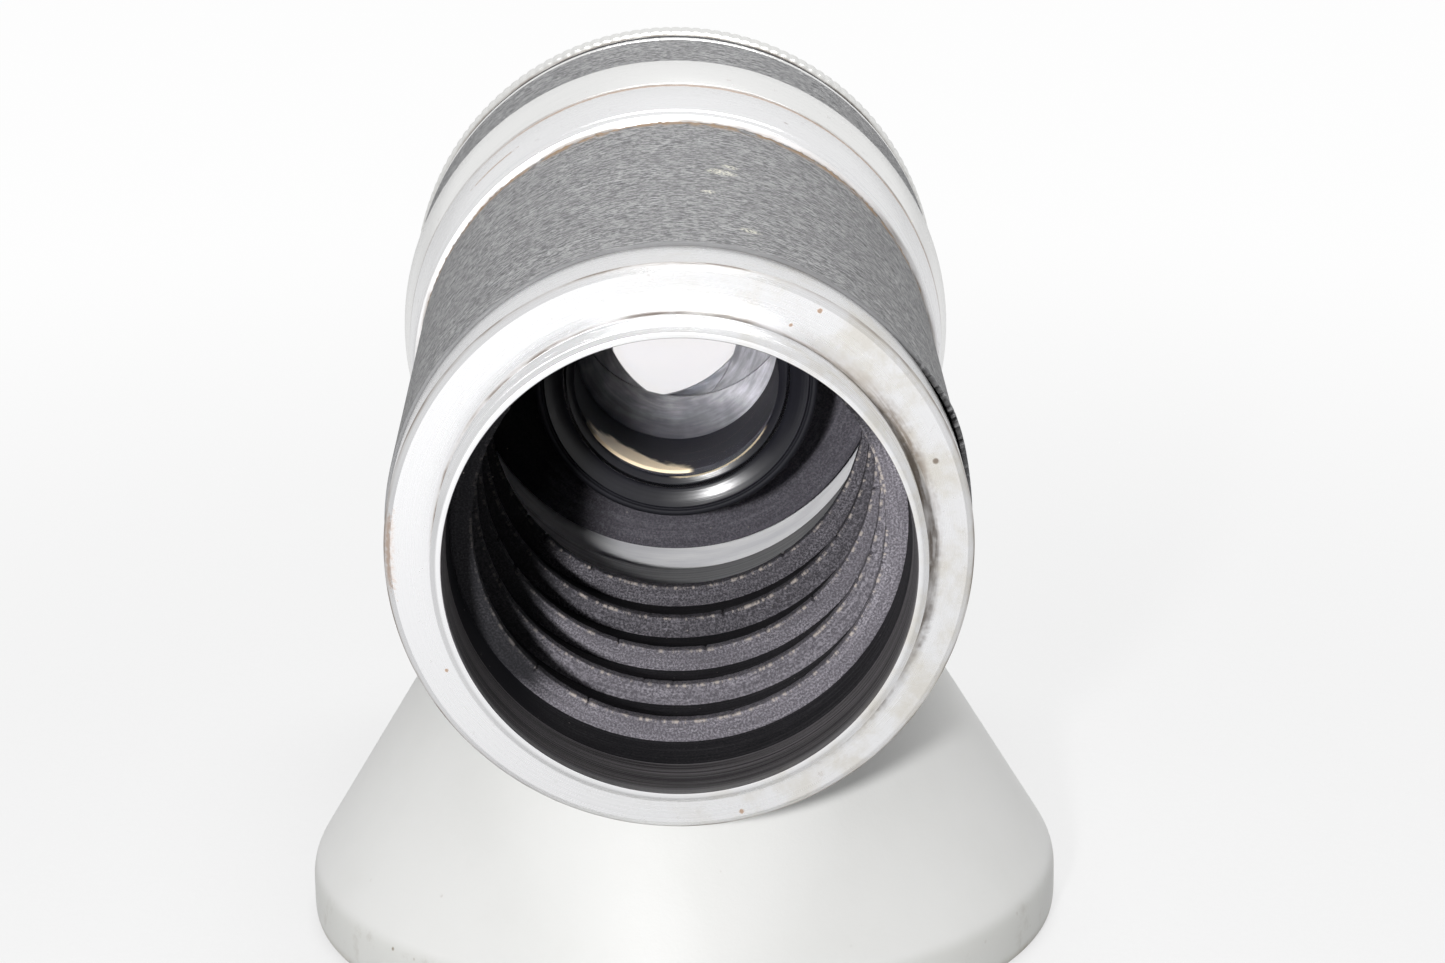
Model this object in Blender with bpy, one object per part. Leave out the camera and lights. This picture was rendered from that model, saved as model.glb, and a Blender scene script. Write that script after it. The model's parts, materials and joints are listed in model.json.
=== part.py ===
"""Screw-mount telephoto lens lying on a low cradle stand.

Metres, +Z up. The origin is the middle of the object's box on the table. The lens axis is level and
runs along +Y, with the rear screw mount towards -Y. Every turned piece is drawn as a closed outline of
(depth, radius) points, where depth runs forward from the rear rim, and is spun about the lens axis.
"""

import math

import bmesh
import bpy
from mathutils import Matrix

MM = 0.001
FULL_TURN = 2.0 * math.pi

# Clearances and mesh fineness
FIT_GAP = 0.3 * MM
RUN_GAP = 0.6 * MM
WELD = 0.0005 * MM
CUT_OVERRUN = 2.0 * MM
ROUND_STEPS = 40
INNER_STEPS = 32
PIN_STEPS = 12
DOME_STEPS = 4
LINK_STEPS = 4
SMOOTH_ANGLE = math.radians(30.0)

# Rear mount: a male screw collar on a flange
THREAD_DIAMETER = 42.0 * MM
THREAD_LENGTH = 4.9 * MM
THREAD_CHAMFER = 0.5 * MM
MOUNT_WALL = 1.0 * MM
FLANGE_STEP = 0.5 * MM
FLANGE_LENGTH = 6.7 * MM
FLANGE_CHAMFER = 0.6 * MM
MOUNT_SPIGOT = 4.3 * MM
LOCK_SCREW_RADIUS = 1.25 * MM

# Rear tube, its glare rings and its leatherette
TUBE_WALL = 4.7 * MM
SPIGOT_WALL = 2.5 * MM
WRAP_LENGTH = 51.3 * MM
WRAP_THICKNESS = 0.5 * MM
RIDGE_COUNT = 5
RIDGE_INSET = 0.6 * MM
RIDGE_END_MARGIN = 12.3 * MM
RIDGE_HEIGHT = 2.0 * MM
RIDGE_CREST = 1.2 * MM
RIDGE_BACK = 2.6 * MM

# Fixed collar and the sleeve that carries the focus ring
COLLAR_LENGTH = 11.0 * MM
COLLAR_LIP = 0.58 * MM
COLLAR_SOCKET = 8.2 * MM
COLLAR_WEB = 3.0 * MM
SLEEVE_WALL = 1.6 * MM
SCREW_GROOVE_DEPTH = 0.8 * MM
SCREW_GROOVE_OFFSET = 2.6 * MM
STOP_PIN_RADIUS = 0.9 * MM
STOP_PIN_REACH = 1.8 * MM
STOP_PIN_ROOT = 2.2 * MM
KEY_PIN_RADIUS = 0.9 * MM
KEY_PIN_SETBACK = 1.7 * MM

# Focus ring
BAND_LENGTH = 7.3 * MM
BAND_STEP = 0.05 * MM
BAND_FLARE = 1.0 * MM
FOCUS_WALL = 3.7 * MM
FOCUS_EDGE = 0.3 * MM
GRIP_LENGTH = 14.1 * MM
GRIP_THICKNESS = 0.45 * MM
NUT_LENGTH = 5.5 * MM
FOCUS_SCREW_COUNT = 3
FOCUS_SCREW_RADIUS = 0.8 * MM
FOCUS_THROW = math.radians(270.0)
HEAD_TRAVEL = 13.0 * MM

# Lens head and its aperture ring
HEAD_WALL = 1.1 * MM
HEAD_SET_BACK = 1.5 * MM
REAR_WALL = 2.5 * MM
HEAD_FLANGE_LENGTH = 1.5 * MM
HEAD_FLANGE_WALL = 3.0 * MM
CELL_SEAT = 1.0 * MM
NOSE_STEP = 2.8 * MM
NOSE_WALL = 1.8 * MM
APERTURE_LENGTH = 3.5 * MM
APERTURE_WALL = 3.05 * MM
APERTURE_EDGE = 0.4 * MM
RETAINER_LENGTH = 0.7 * MM
RETAINER_WALL = 1.3 * MM

# Glass and cells
REAR_GLASS_RADIUS = 10.9 * MM
REAR_GLASS_EDGE = 4.0 * MM
REAR_GLASS_SAG = 1.2 * MM
REAR_CELL_WALL = 2.8 * MM
REAR_CELL_PROTRUSION = 12.0 * MM
REAR_CELL_FLANGE = 1.6 * MM
MIDDLE_GLASS_RADIUS = 13.5 * MM
MIDDLE_GLASS_EDGE = 2.8 * MM
MIDDLE_GLASS_HOLLOW = 0.7 * MM
FRONT_GLASS_RADIUS = 16.3 * MM
FRONT_GLASS_EDGE = 2.8 * MM
FRONT_GLASS_SAG = 2.7 * MM
FRONT_GLASS_HOLLOW = 0.4 * MM
FRONT_CELL_WALL = 1.0 * MM
FRONT_CELL_FLANGE = 1.3 * MM
FRONT_CELL_SETBACK = 1.6 * MM
GLASS_SEAT = 0.8 * MM
GLASS_SHOULDER = 1.0 * MM
RETAINING_RING = 1.0 * MM
TRIM_RING = 0.8 * MM
TRIM_SETBACK = 0.5 * MM

# Iris
BLADE_COUNT = 8
BLADE_THICKNESS = 0.47 * MM
BLADE_PITCH = 0.52 * MM
BLADE_WIDTH = 4.9 * MM
BLADE_SWEEP = math.radians(150.0)
BLADE_ARC_STEPS = 9
PIVOT_INSET = 1.8 * MM
PIVOT_PIN_RADIUS = 0.6 * MM
PIVOT_EAR_RADIUS = 1.3 * MM
PIVOT_EAR_STEPS = 5
PIVOT_PIN_CLEARANCE = 0.7 * MM
REST_OPENING = 7.0 * MM
IRIS_RING = 1.3 * MM
APERTURE_CLOSE = math.radians(29.0)
APERTURE_OPEN = math.radians(31.0)
LINK_THICKNESS = 1.2 * MM
LINK_SPREAD = math.radians(8.0)
LINK_ANGLE = math.radians(60.0)
LINK_PIN_RADIUS = 0.7 * MM

# Cradle stand
AXIS_HEIGHT = 47.6 * MM
STAND_DEPTH = 45.0 * MM
STAND_RADIUS = 36.0 * MM
STAND_RIM = 5.0 * MM
STAND_ROUND = 1.0 * MM
STAND_ROUND_IN = 0.2 * MM
STAND_FOOT_CHAMFER = 0.5 * MM
STAND_FLANK_SLOPE = 0.603
SADDLE_DROP = 17.0 * MM

# Radii of the rear tube, from the thread outwards
BORE_RADIUS = THREAD_DIAMETER / 2.0 - MOUNT_WALL
SPIGOT_RADIUS = BORE_RADIUS + SPIGOT_WALL
SOCKET_RADIUS = SPIGOT_RADIUS + FIT_GAP
TUBE_RADIUS = BORE_RADIUS + TUBE_WALL
FLANGE_RADIUS = TUBE_RADIUS + FLANGE_STEP
WRAP_INNER = TUBE_RADIUS + FIT_GAP
WRAP_RADIUS = WRAP_INNER + WRAP_THICKNESS

# Radii of the lens head and focus ring, from the front glass outwards
FRONT_CELL_BORE = FRONT_GLASS_RADIUS + FIT_GAP
FRONT_CELL_RADIUS = FRONT_CELL_BORE + FRONT_CELL_WALL
LINK_INNER = FRONT_CELL_RADIUS + RUN_GAP
LINK_OUTER = LINK_INNER + LINK_THICKNESS
HEAD_BORE = LINK_OUTER + RUN_GAP
HEAD_RADIUS = HEAD_BORE + HEAD_WALL
COLLAR_BORE = HEAD_RADIUS + FIT_GAP
SLEEVE_RADIUS = COLLAR_BORE + SLEEVE_WALL
FOCUS_BORE = SLEEVE_RADIUS + FIT_GAP
GRIP_SEAT = FOCUS_BORE + FOCUS_WALL
BAND_REAR_RADIUS = GRIP_SEAT + BAND_STEP
BAND_RADIUS = BAND_REAR_RADIUS + BAND_FLARE
GRIP_INNER = GRIP_SEAT + FIT_GAP
GRIP_RADIUS = GRIP_INNER + GRIP_THICKNESS
NOSE_BORE = HEAD_BORE + NOSE_STEP
NOSE_RADIUS = NOSE_BORE + NOSE_WALL
HEAD_FLANGE_RADIUS = NOSE_RADIUS + HEAD_FLANGE_WALL
APERTURE_BORE = NOSE_RADIUS + FIT_GAP
APERTURE_RADIUS = APERTURE_BORE + APERTURE_WALL
INSIDE_HEAD = HEAD_BORE - FIT_GAP
REAR_CELL_BORE = REAR_GLASS_RADIUS + FIT_GAP
REAR_CELL_RADIUS = REAR_CELL_BORE + REAR_CELL_WALL
WEB_RADIUS = min(COLLAR_BORE, SOCKET_RADIUS)
COLLAR_REAR_RADIUS = WRAP_RADIUS + COLLAR_LIP
STOP_CIRCLE = (FOCUS_BORE + BAND_REAR_RADIUS) / 2.0

# Depths from the rear rim forward
FLANGE_END = THREAD_LENGTH + FLANGE_LENGTH
MOUNT_COUNTERBORE = FLANGE_END - MOUNT_SPIGOT - FIT_GAP
WRAP_START = FLANGE_END + FIT_GAP
WRAP_END = WRAP_START + WRAP_LENGTH
COLLAR_START = WRAP_END + FIT_GAP
COLLAR_END = COLLAR_START + COLLAR_LENGTH
SOCKET_START = COLLAR_START - COLLAR_SOCKET
TUBE_END = COLLAR_START - RUN_GAP
FIRST_RIDGE = WRAP_START + RIDGE_INSET
RIDGE_PITCH = (TUBE_END - RIDGE_END_MARGIN - FIRST_RIDGE) / (RIDGE_COUNT - 1)
BAND_START = COLLAR_END + FIT_GAP
BAND_END = BAND_START + BAND_LENGTH
GRIP_START = BAND_END + FIT_GAP
GRIP_END = GRIP_START + GRIP_LENGTH
FOCUS_END = GRIP_END + FOCUS_EDGE
SLEEVE_END = GRIP_END - NUT_LENGTH
NUT_START = SLEEVE_END + FIT_GAP
SCREW_DEPTH = GRIP_START + SCREW_GROOVE_OFFSET
KEY_DEPTH = SLEEVE_END - KEY_PIN_SETBACK
HEAD_FLANGE_START = FOCUS_END + FIT_GAP
HEAD_FLANGE_END = HEAD_FLANGE_START + HEAD_FLANGE_LENGTH
CELL_SHOULDER = HEAD_FLANGE_START + CELL_SEAT
APERTURE_START = HEAD_FLANGE_END + FIT_GAP
APERTURE_END = APERTURE_START + APERTURE_LENGTH
RETAINER_START = APERTURE_END + FIT_GAP
FRONT_END = RETAINER_START + RETAINER_LENGTH
HEAD_REAR = COLLAR_END - HEAD_SET_BACK
HEAD_FLOOR = HEAD_REAR + REAR_WALL
REAR_CELL_REAR = HEAD_REAR - REAR_CELL_PROTRUSION
REAR_CELL_STEP = HEAD_FLOOR + FIT_GAP
REAR_CELL_FRONT = REAR_CELL_STEP + REAR_CELL_FLANGE
REAR_RING_END = REAR_CELL_REAR + RETAINING_RING
REAR_GLASS_REAR = REAR_RING_END + FIT_GAP
REAR_GLASS_FRONT = REAR_GLASS_REAR + REAR_GLASS_EDGE
REAR_GLASS_STOP = REAR_GLASS_FRONT + FIT_GAP
IRIS_BASE_REAR = REAR_CELL_FRONT + FIT_GAP
IRIS_BASE_FRONT = IRIS_BASE_REAR + IRIS_RING
BLADE_START = IRIS_BASE_FRONT + FIT_GAP
BLADE_END = BLADE_START + (BLADE_COUNT - 1) * BLADE_PITCH + BLADE_THICKNESS
CAM_REAR = BLADE_END + FIT_GAP
CAM_FRONT = CAM_REAR + IRIS_RING
FRONT_CELL_REAR = CAM_FRONT + RUN_GAP
MIDDLE_RING_REAR = FRONT_CELL_REAR + FIT_GAP
MIDDLE_GLASS_REAR = MIDDLE_RING_REAR + RETAINING_RING + FIT_GAP
MIDDLE_GLASS_FRONT = MIDDLE_GLASS_REAR + MIDDLE_GLASS_EDGE
SHOULDER_REAR = MIDDLE_GLASS_FRONT + FIT_GAP
SHOULDER_FRONT = SHOULDER_REAR + GLASS_SHOULDER
FRONT_GLASS_REAR = SHOULDER_FRONT + FIT_GAP
FRONT_GLASS_FRONT = FRONT_GLASS_REAR + FRONT_GLASS_EDGE
FRONT_RING_REAR = FRONT_GLASS_FRONT + FIT_GAP
FRONT_CELL_FRONT = FRONT_END - FRONT_CELL_SETBACK
CELL_FLANGE_REAR = CELL_SHOULDER + FIT_GAP
CELL_FLANGE_FRONT = CELL_FLANGE_REAR + FRONT_CELL_FLANGE
TRIM_FRONT = FRONT_END - TRIM_SETBACK
TRIM_REAR = TRIM_FRONT - TRIM_RING
LINK_PIN_DEPTH = CELL_FLANGE_FRONT + LINK_PIN_RADIUS + FIT_GAP
LINK_END = LINK_PIN_DEPTH + LINK_PIN_RADIUS

# Iris geometry
PIVOT_CIRCLE = HEAD_BORE - PIVOT_INSET
BLADE_OUTER = PIVOT_CIRCLE - PIVOT_PIN_RADIUS - PIVOT_PIN_CLEARANCE
BLADE_INNER = BLADE_OUTER - BLADE_WIDTH
REST_ANGLE = 2.0 * math.asin((BLADE_INNER - REST_OPENING) / (2.0 * PIVOT_CIRCLE))

# Directions round the lens axis, in the plane of the outlines
TOP = math.radians(-90.0)
BOTTOM = math.radians(90.0)
STOP_ANGLE = math.radians(40.0)

# Finishes: colour, roughness, metallic
CHROME = ((0.80, 0.80, 0.79), 0.28, 1.0)
BARE_METAL = ((0.76, 0.76, 0.75), 0.38, 1.0)
STEEL = ((0.55, 0.55, 0.54), 0.35, 1.0)
BLACK_PAINT = ((0.025, 0.024, 0.028), 0.55, 0.0)
BLACK_GLOSS = ((0.02, 0.02, 0.024), 0.25, 0.0)
LEATHERETTE = ((0.055, 0.056, 0.056), 0.72, 0.0)
BLADE_STEEL = ((0.06, 0.06, 0.07), 0.40, 0.8)
COATED_GLASS = ((0.86, 0.84, 0.95), 0.02, 0.0)
WHITE_PLASTIC = ((0.86, 0.86, 0.84), 0.50, 0.0)


def clear_scene():
    """Removes every object of the open scene."""
    for item in list(bpy.data.objects):
        bpy.data.objects.remove(item, do_unlink=True)


def finish_material(name, finish):
    """Makes one Principled material from a (colour, roughness, metallic) finish."""
    colour, roughness, metallic = finish
    material = bpy.data.materials.new(name)
    material.use_nodes = True
    shader = material.node_tree.nodes["Principled BSDF"]
    shader.inputs["Base Color"].default_value = (*colour, 1.0)
    shader.inputs["Roughness"].default_value = roughness
    shader.inputs["Metallic"].default_value = metallic
    return material


def add_object(name, shape, frame, finish=None):
    """Turns a bmesh into an object under a frame empty. Without a finish it is a hidden cutter."""
    mesh = bpy.data.meshes.new(name)
    shape.to_mesh(mesh)
    shape.free()
    mesh.shade_smooth()
    mesh.set_sharp_from_angle(angle=SMOOTH_ANGLE)
    item = bpy.data.objects.new(name, mesh)
    bpy.context.scene.collection.objects.link(item)
    item.parent = frame
    if finish is None:
        item.hide_render = True
        item.display_type = "WIRE"
    else:
        mesh.materials.append(finish_material(name + "_finish", finish))
    return item


def boolean(item, cutter, operation="DIFFERENCE"):
    """Adds an exact boolean of the cutter to the item."""
    modifier = item.modifiers.new(cutter.name, "BOOLEAN")
    modifier.operation = operation
    modifier.solver = "EXACT"
    modifier.object = cutter


def same_point(first, second):
    """True where two outline points fall together."""
    return math.dist(first, second) < WELD


def lathe(outline, steps=ROUND_STEPS, start=0.0, sweep=FULL_TURN):
    """Spins a closed (depth, radius) outline about local Z, all the way round or over part of a turn."""
    shape = bmesh.new()
    points = [point for index, point in enumerate(outline) if not same_point(point, outline[index - 1])]
    corners = []
    for depth, radius in points:
        corners.append(shape.verts.new((radius * math.cos(start), radius * math.sin(start), depth)))
    edges = []
    for index, corner in enumerate(corners):
        on_axis = points[index][1] == 0.0 and points[index - 1][1] == 0.0
        if not on_axis:
            edges.append(shape.edges.new((corners[index - 1], corner)))
    whole = sweep >= FULL_TURN
    bmesh.ops.spin(
        shape, geom=corners + edges, cent=(0, 0, 0), axis=(0, 0, 1), angle=sweep, steps=steps, use_merge=whole
    )
    bmesh.ops.remove_doubles(shape, verts=shape.verts, dist=WELD)
    if not whole:
        bmesh.ops.holes_fill(shape, edges=[edge for edge in shape.edges if edge.is_boundary])
    bmesh.ops.recalc_face_normals(shape, faces=shape.faces)
    return shape


def ring(rear, front, inner, outer, steps=ROUND_STEPS):
    """A plain turned ring."""
    return lathe([(rear, inner), (rear, outer), (front, outer), (front, inner)], steps)


def dome(edge_depth, radius, rise):
    """Outline points of a glass surface from its edge to the axis; rise is how far its middle lies ahead."""
    if rise == 0.0:
        return [(edge_depth, radius), (edge_depth, 0.0)]
    ball = (radius**2 + rise**2) / (2.0 * rise)
    points = []
    for step in range(DOME_STEPS + 1):
        reach = radius * (1.0 - step / DOME_STEPS)
        fall = abs(ball) - math.sqrt(ball**2 - reach**2)
        points.append((edge_depth + rise - math.copysign(fall, rise), reach))
    return points


def glass(rear, front, radius, rear_rise, front_rise):
    """A lens element between two edge depths, with the middles of its faces moved ahead by the rises."""
    rear_face = dome(rear, radius, rear_rise)
    front_face = dome(front, radius, front_rise)
    return lathe(rear_face[::-1] + front_face, INNER_STEPS)


def rod(radius, low, high, placing):
    """A round pin from low to high along the Z of its own placing."""
    shape = bmesh.new()
    bmesh.ops.create_cone(
        shape, cap_ends=True, segments=PIN_STEPS, radius1=radius, radius2=radius, depth=high - low
    )
    bmesh.ops.translate(shape, verts=shape.verts, vec=(0, 0, (high + low) / 2.0))
    bmesh.ops.transform(shape, matrix=placing, verts=shape.verts)
    return shape


def radial(depth, angle):
    """Placing of a pin that points straight out from the lens axis."""
    turn = Matrix.Rotation(angle, 4, "Z") @ Matrix.Rotation(math.pi / 2.0, 4, "Y")
    return Matrix.Translation((0, 0, depth)) @ turn


def axial(circle, angle):
    """Placing of a pin that runs along the lens axis on a circle."""
    return Matrix.Translation((circle * math.cos(angle), circle * math.sin(angle), 0.0))


def drill(item, name, radius, low, high, placing):
    """Cuts a round hole."""
    boolean(item, add_object(name, rod(radius, low, high, placing), item.parent))


def build_mount(axis):
    """Flange with the screw collar, and the grub screw that locks it on the tube."""
    outline = [
        (0.0, BORE_RADIUS),
        (0.0, THREAD_DIAMETER / 2.0 - THREAD_CHAMFER),
        (THREAD_CHAMFER, THREAD_DIAMETER / 2.0),
        (THREAD_LENGTH, THREAD_DIAMETER / 2.0),
        (THREAD_LENGTH, FLANGE_RADIUS - FLANGE_CHAMFER),
        (THREAD_LENGTH + FLANGE_CHAMFER, FLANGE_RADIUS),
        (FLANGE_END, FLANGE_RADIUS),
        (FLANGE_END, SOCKET_RADIUS),
        (MOUNT_COUNTERBORE, SOCKET_RADIUS),
        (MOUNT_COUNTERBORE, BORE_RADIUS),
    ]
    flange = add_object("mount_flange", lathe(outline), axis, BARE_METAL)
    placing = radial((MOUNT_COUNTERBORE + FLANGE_END) / 2.0, BOTTOM)
    hole_radius = LOCK_SCREW_RADIUS + FIT_GAP
    drill(flange, "lock_screw_hole", hole_radius, SPIGOT_RADIUS, FLANGE_RADIUS + CUT_OVERRUN, placing)
    screw = rod(LOCK_SCREW_RADIUS, SOCKET_RADIUS, FLANGE_RADIUS - FIT_GAP, placing)
    add_object("flange_lock_screw", screw, axis, STEEL)


def build_baffles(axis):
    """Glare rings pressed into the rear tube, each with a flat rear face and a sloped back."""
    seat = BORE_RADIUS - FIT_GAP
    crest = BORE_RADIUS - RIDGE_HEIGHT
    for index in range(RIDGE_COUNT):
        riser = FIRST_RIDGE + index * RIDGE_PITCH
        outline = [
            (riser, seat),
            (riser, crest),
            (riser + RIDGE_CREST, crest),
            (riser + RIDGE_CREST + RIDGE_BACK, seat),
        ]
        add_object(f"baffle_ring_{index + 1}", lathe(outline), axis, BLACK_PAINT)


def build_tube(axis):
    """Rear tube, and the leatherette round it."""
    outline = [
        (MOUNT_COUNTERBORE + FIT_GAP, BORE_RADIUS),
        (MOUNT_COUNTERBORE + FIT_GAP, SPIGOT_RADIUS),
        (WRAP_START, SPIGOT_RADIUS),
        (WRAP_START, TUBE_RADIUS),
        (SOCKET_START - FIT_GAP, TUBE_RADIUS),
        (SOCKET_START - FIT_GAP, SPIGOT_RADIUS),
        (TUBE_END, SPIGOT_RADIUS),
        (TUBE_END, BORE_RADIUS),
    ]
    add_object("barrel_tube", lathe(outline), axis, BLACK_PAINT)
    wrap = ring(WRAP_START, WRAP_END, WRAP_INNER, WRAP_RADIUS)
    add_object("leatherette_wrap", wrap, axis, LEATHERETTE)


def build_collar(axis):
    """Fixed collar with its socket for the tube, its sleeve for the focus ring, its stop and its key."""
    groove_half = FOCUS_SCREW_RADIUS + FIT_GAP
    outline = [
        (SOCKET_START, SOCKET_RADIUS),
        (SOCKET_START, TUBE_RADIUS),
        (COLLAR_START, TUBE_RADIUS),
        (COLLAR_START, COLLAR_REAR_RADIUS),
        (COLLAR_END, BAND_REAR_RADIUS),
        (COLLAR_END, SLEEVE_RADIUS),
        (SCREW_DEPTH - groove_half, SLEEVE_RADIUS),
        (SCREW_DEPTH - groove_half, SLEEVE_RADIUS - SCREW_GROOVE_DEPTH),
        (SCREW_DEPTH + groove_half, SLEEVE_RADIUS - SCREW_GROOVE_DEPTH),
        (SCREW_DEPTH + groove_half, SLEEVE_RADIUS),
        (SLEEVE_END, SLEEVE_RADIUS),
        (SLEEVE_END, COLLAR_BORE),
        (TUBE_END + FIT_GAP + COLLAR_WEB, COLLAR_BORE),
        (TUBE_END + FIT_GAP + COLLAR_WEB, WEB_RADIUS),
        (TUBE_END + FIT_GAP, WEB_RADIUS),
        (TUBE_END + FIT_GAP, SOCKET_RADIUS),
    ]
    collar = add_object("fixed_collar", lathe(outline), axis, CHROME)
    stop_root = COLLAR_END - STOP_PIN_ROOT
    stop = axial(STOP_CIRCLE, STOP_ANGLE)
    hole_end = COLLAR_END + CUT_OVERRUN
    drill(collar, "stop_pin_hole", STOP_PIN_RADIUS + FIT_GAP, stop_root - FIT_GAP, hole_end, stop)
    pin = rod(STOP_PIN_RADIUS, stop_root, COLLAR_END + STOP_PIN_REACH, stop)
    add_object("focus_stop_pin", pin, axis, STEEL)
    key = radial(KEY_DEPTH, TOP)
    drill(collar, "key_pin_hole", KEY_PIN_RADIUS + FIT_GAP, HEAD_BORE, SLEEVE_RADIUS + CUT_OVERRUN, key)
    pin = rod(KEY_PIN_RADIUS, HEAD_BORE + FIT_GAP, SLEEVE_RADIUS - FIT_GAP, key)
    add_object("head_key_pin", pin, axis, STEEL)


def build_focus_ring(axis):
    """Focus ring with its stop groove and inner thread seat, its grip and its guide screws."""
    outline = [
        (BAND_START, FOCUS_BORE),
        (BAND_START, BAND_REAR_RADIUS),
        (BAND_END, BAND_RADIUS),
        (BAND_END, GRIP_SEAT),
        (FOCUS_END - FOCUS_EDGE, GRIP_SEAT),
        (FOCUS_END, GRIP_SEAT - FOCUS_EDGE),
        (FOCUS_END, COLLAR_BORE),
        (NUT_START, COLLAR_BORE),
        (NUT_START, FOCUS_BORE),
    ]
    focus = add_object("focus_ring", lathe(outline), axis, CHROME)
    half = STOP_PIN_RADIUS + FIT_GAP
    floor = COLLAR_END + STOP_PIN_REACH + FIT_GAP
    mouth = BAND_START - CUT_OVERRUN
    groove = [
        (mouth, STOP_CIRCLE - half),
        (mouth, STOP_CIRCLE + half),
        (floor, STOP_CIRCLE + half),
        (floor, STOP_CIRCLE - half),
    ]
    margin = math.asin(half / STOP_CIRCLE)
    start = STOP_ANGLE - FOCUS_THROW - margin
    cutter = lathe(groove, ROUND_STEPS, start, FOCUS_THROW + 2.0 * margin)
    boolean(focus, add_object("stop_groove", cutter, axis))
    add_object("focus_grip", ring(GRIP_START, GRIP_END, GRIP_INNER, GRIP_RADIUS), axis, LEATHERETTE)
    tip = SLEEVE_RADIUS - SCREW_GROOVE_DEPTH + FIT_GAP
    for index in range(FOCUS_SCREW_COUNT):
        name = f"focus_screw_{index + 1}"
        placing = radial(SCREW_DEPTH, BOTTOM + index * FULL_TURN / FOCUS_SCREW_COUNT)
        hole_radius = FOCUS_SCREW_RADIUS + FIT_GAP
        drill(focus, name + "_hole", hole_radius, SLEEVE_RADIUS, GRIP_SEAT + CUT_OVERRUN, placing)
        screw = rod(FOCUS_SCREW_RADIUS, tip, GRIP_SEAT - FIT_GAP, placing)
        add_object(name, screw, axis, STEEL)


def box_along_axis(width, low, high, rear, front, angle):
    """A bar along the lens axis, from low to high in radius, at an angle round it."""
    shape = bmesh.new()
    bmesh.ops.create_cube(shape, size=1.0)
    size = Matrix.Diagonal((high - low, width, front - rear, 1.0))
    place = Matrix.Translation(((high + low) / 2.0, 0, (front + rear) / 2.0))
    bmesh.ops.transform(shape, matrix=Matrix.Rotation(angle, 4, "Z") @ place @ size, verts=shape.verts)
    return shape


def build_head(axis):
    """Sliding lens head with its key slot, its slot for the aperture pin and the aperture retainer."""
    hole = REAR_CELL_RADIUS + FIT_GAP
    outline = [
        (HEAD_REAR, hole),
        (HEAD_REAR, HEAD_RADIUS),
        (HEAD_FLANGE_START, HEAD_RADIUS),
        (HEAD_FLANGE_START, HEAD_FLANGE_RADIUS),
        (HEAD_FLANGE_END, HEAD_FLANGE_RADIUS),
        (HEAD_FLANGE_END, NOSE_RADIUS),
        (FRONT_END, NOSE_RADIUS),
        (FRONT_END, NOSE_BORE),
        (CELL_SHOULDER, NOSE_BORE),
        (CELL_SHOULDER, HEAD_BORE),
        (HEAD_FLOOR, HEAD_BORE),
        (HEAD_FLOOR, hole),
    ]
    head = add_object("head_barrel", lathe(outline), axis, BLACK_PAINT)
    key_half = KEY_PIN_RADIUS + FIT_GAP
    slot_rear = KEY_DEPTH - HEAD_TRAVEL - key_half
    slot_front = KEY_DEPTH + key_half
    outside = HEAD_RADIUS + CUT_OVERRUN
    slot = box_along_axis(2.0 * key_half, INSIDE_HEAD, outside, slot_rear, slot_front, TOP)
    boolean(head, add_object("key_slot", slot, axis))
    pin_half = LINK_PIN_RADIUS + FIT_GAP
    window = [
        (LINK_PIN_DEPTH - pin_half, NOSE_BORE - CUT_OVERRUN),
        (LINK_PIN_DEPTH - pin_half, NOSE_RADIUS + CUT_OVERRUN),
        (LINK_PIN_DEPTH + pin_half, NOSE_RADIUS + CUT_OVERRUN),
        (LINK_PIN_DEPTH + pin_half, NOSE_BORE - CUT_OVERRUN),
    ]
    margin = math.asin(pin_half / NOSE_BORE)
    start = LINK_ANGLE - APERTURE_OPEN - margin
    cutter = lathe(window, PIN_STEPS, start, APERTURE_OPEN + APERTURE_CLOSE + 2.0 * margin)
    boolean(head, add_object("aperture_pin_slot", cutter, axis))
    retainer = ring(RETAINER_START, FRONT_END, APERTURE_BORE, APERTURE_BORE + RETAINER_WALL)
    add_object("aperture_retainer", retainer, axis, CHROME)


def build_rear_cell(axis):
    """Rear cell with its element and retaining ring."""
    clear = REAR_GLASS_RADIUS - GLASS_SEAT
    outline = [
        (REAR_CELL_REAR, REAR_CELL_BORE),
        (REAR_CELL_REAR, REAR_CELL_RADIUS),
        (REAR_CELL_STEP, REAR_CELL_RADIUS),
        (REAR_CELL_STEP, INSIDE_HEAD),
        (REAR_CELL_FRONT, INSIDE_HEAD),
        (REAR_CELL_FRONT, clear),
        (REAR_GLASS_STOP, clear),
        (REAR_GLASS_STOP, REAR_CELL_BORE),
    ]
    add_object("rear_cell", lathe(outline), axis, BLACK_GLOSS)
    element = glass(REAR_GLASS_REAR, REAR_GLASS_FRONT, REAR_GLASS_RADIUS, -REAR_GLASS_SAG, -REAR_GLASS_SAG)
    add_object("rear_element", element, axis, COATED_GLASS)
    keeper = ring(REAR_CELL_REAR, REAR_RING_END, clear, REAR_GLASS_RADIUS, INNER_STEPS)
    add_object("rear_retaining_ring", keeper, axis, BLACK_GLOSS)


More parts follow.
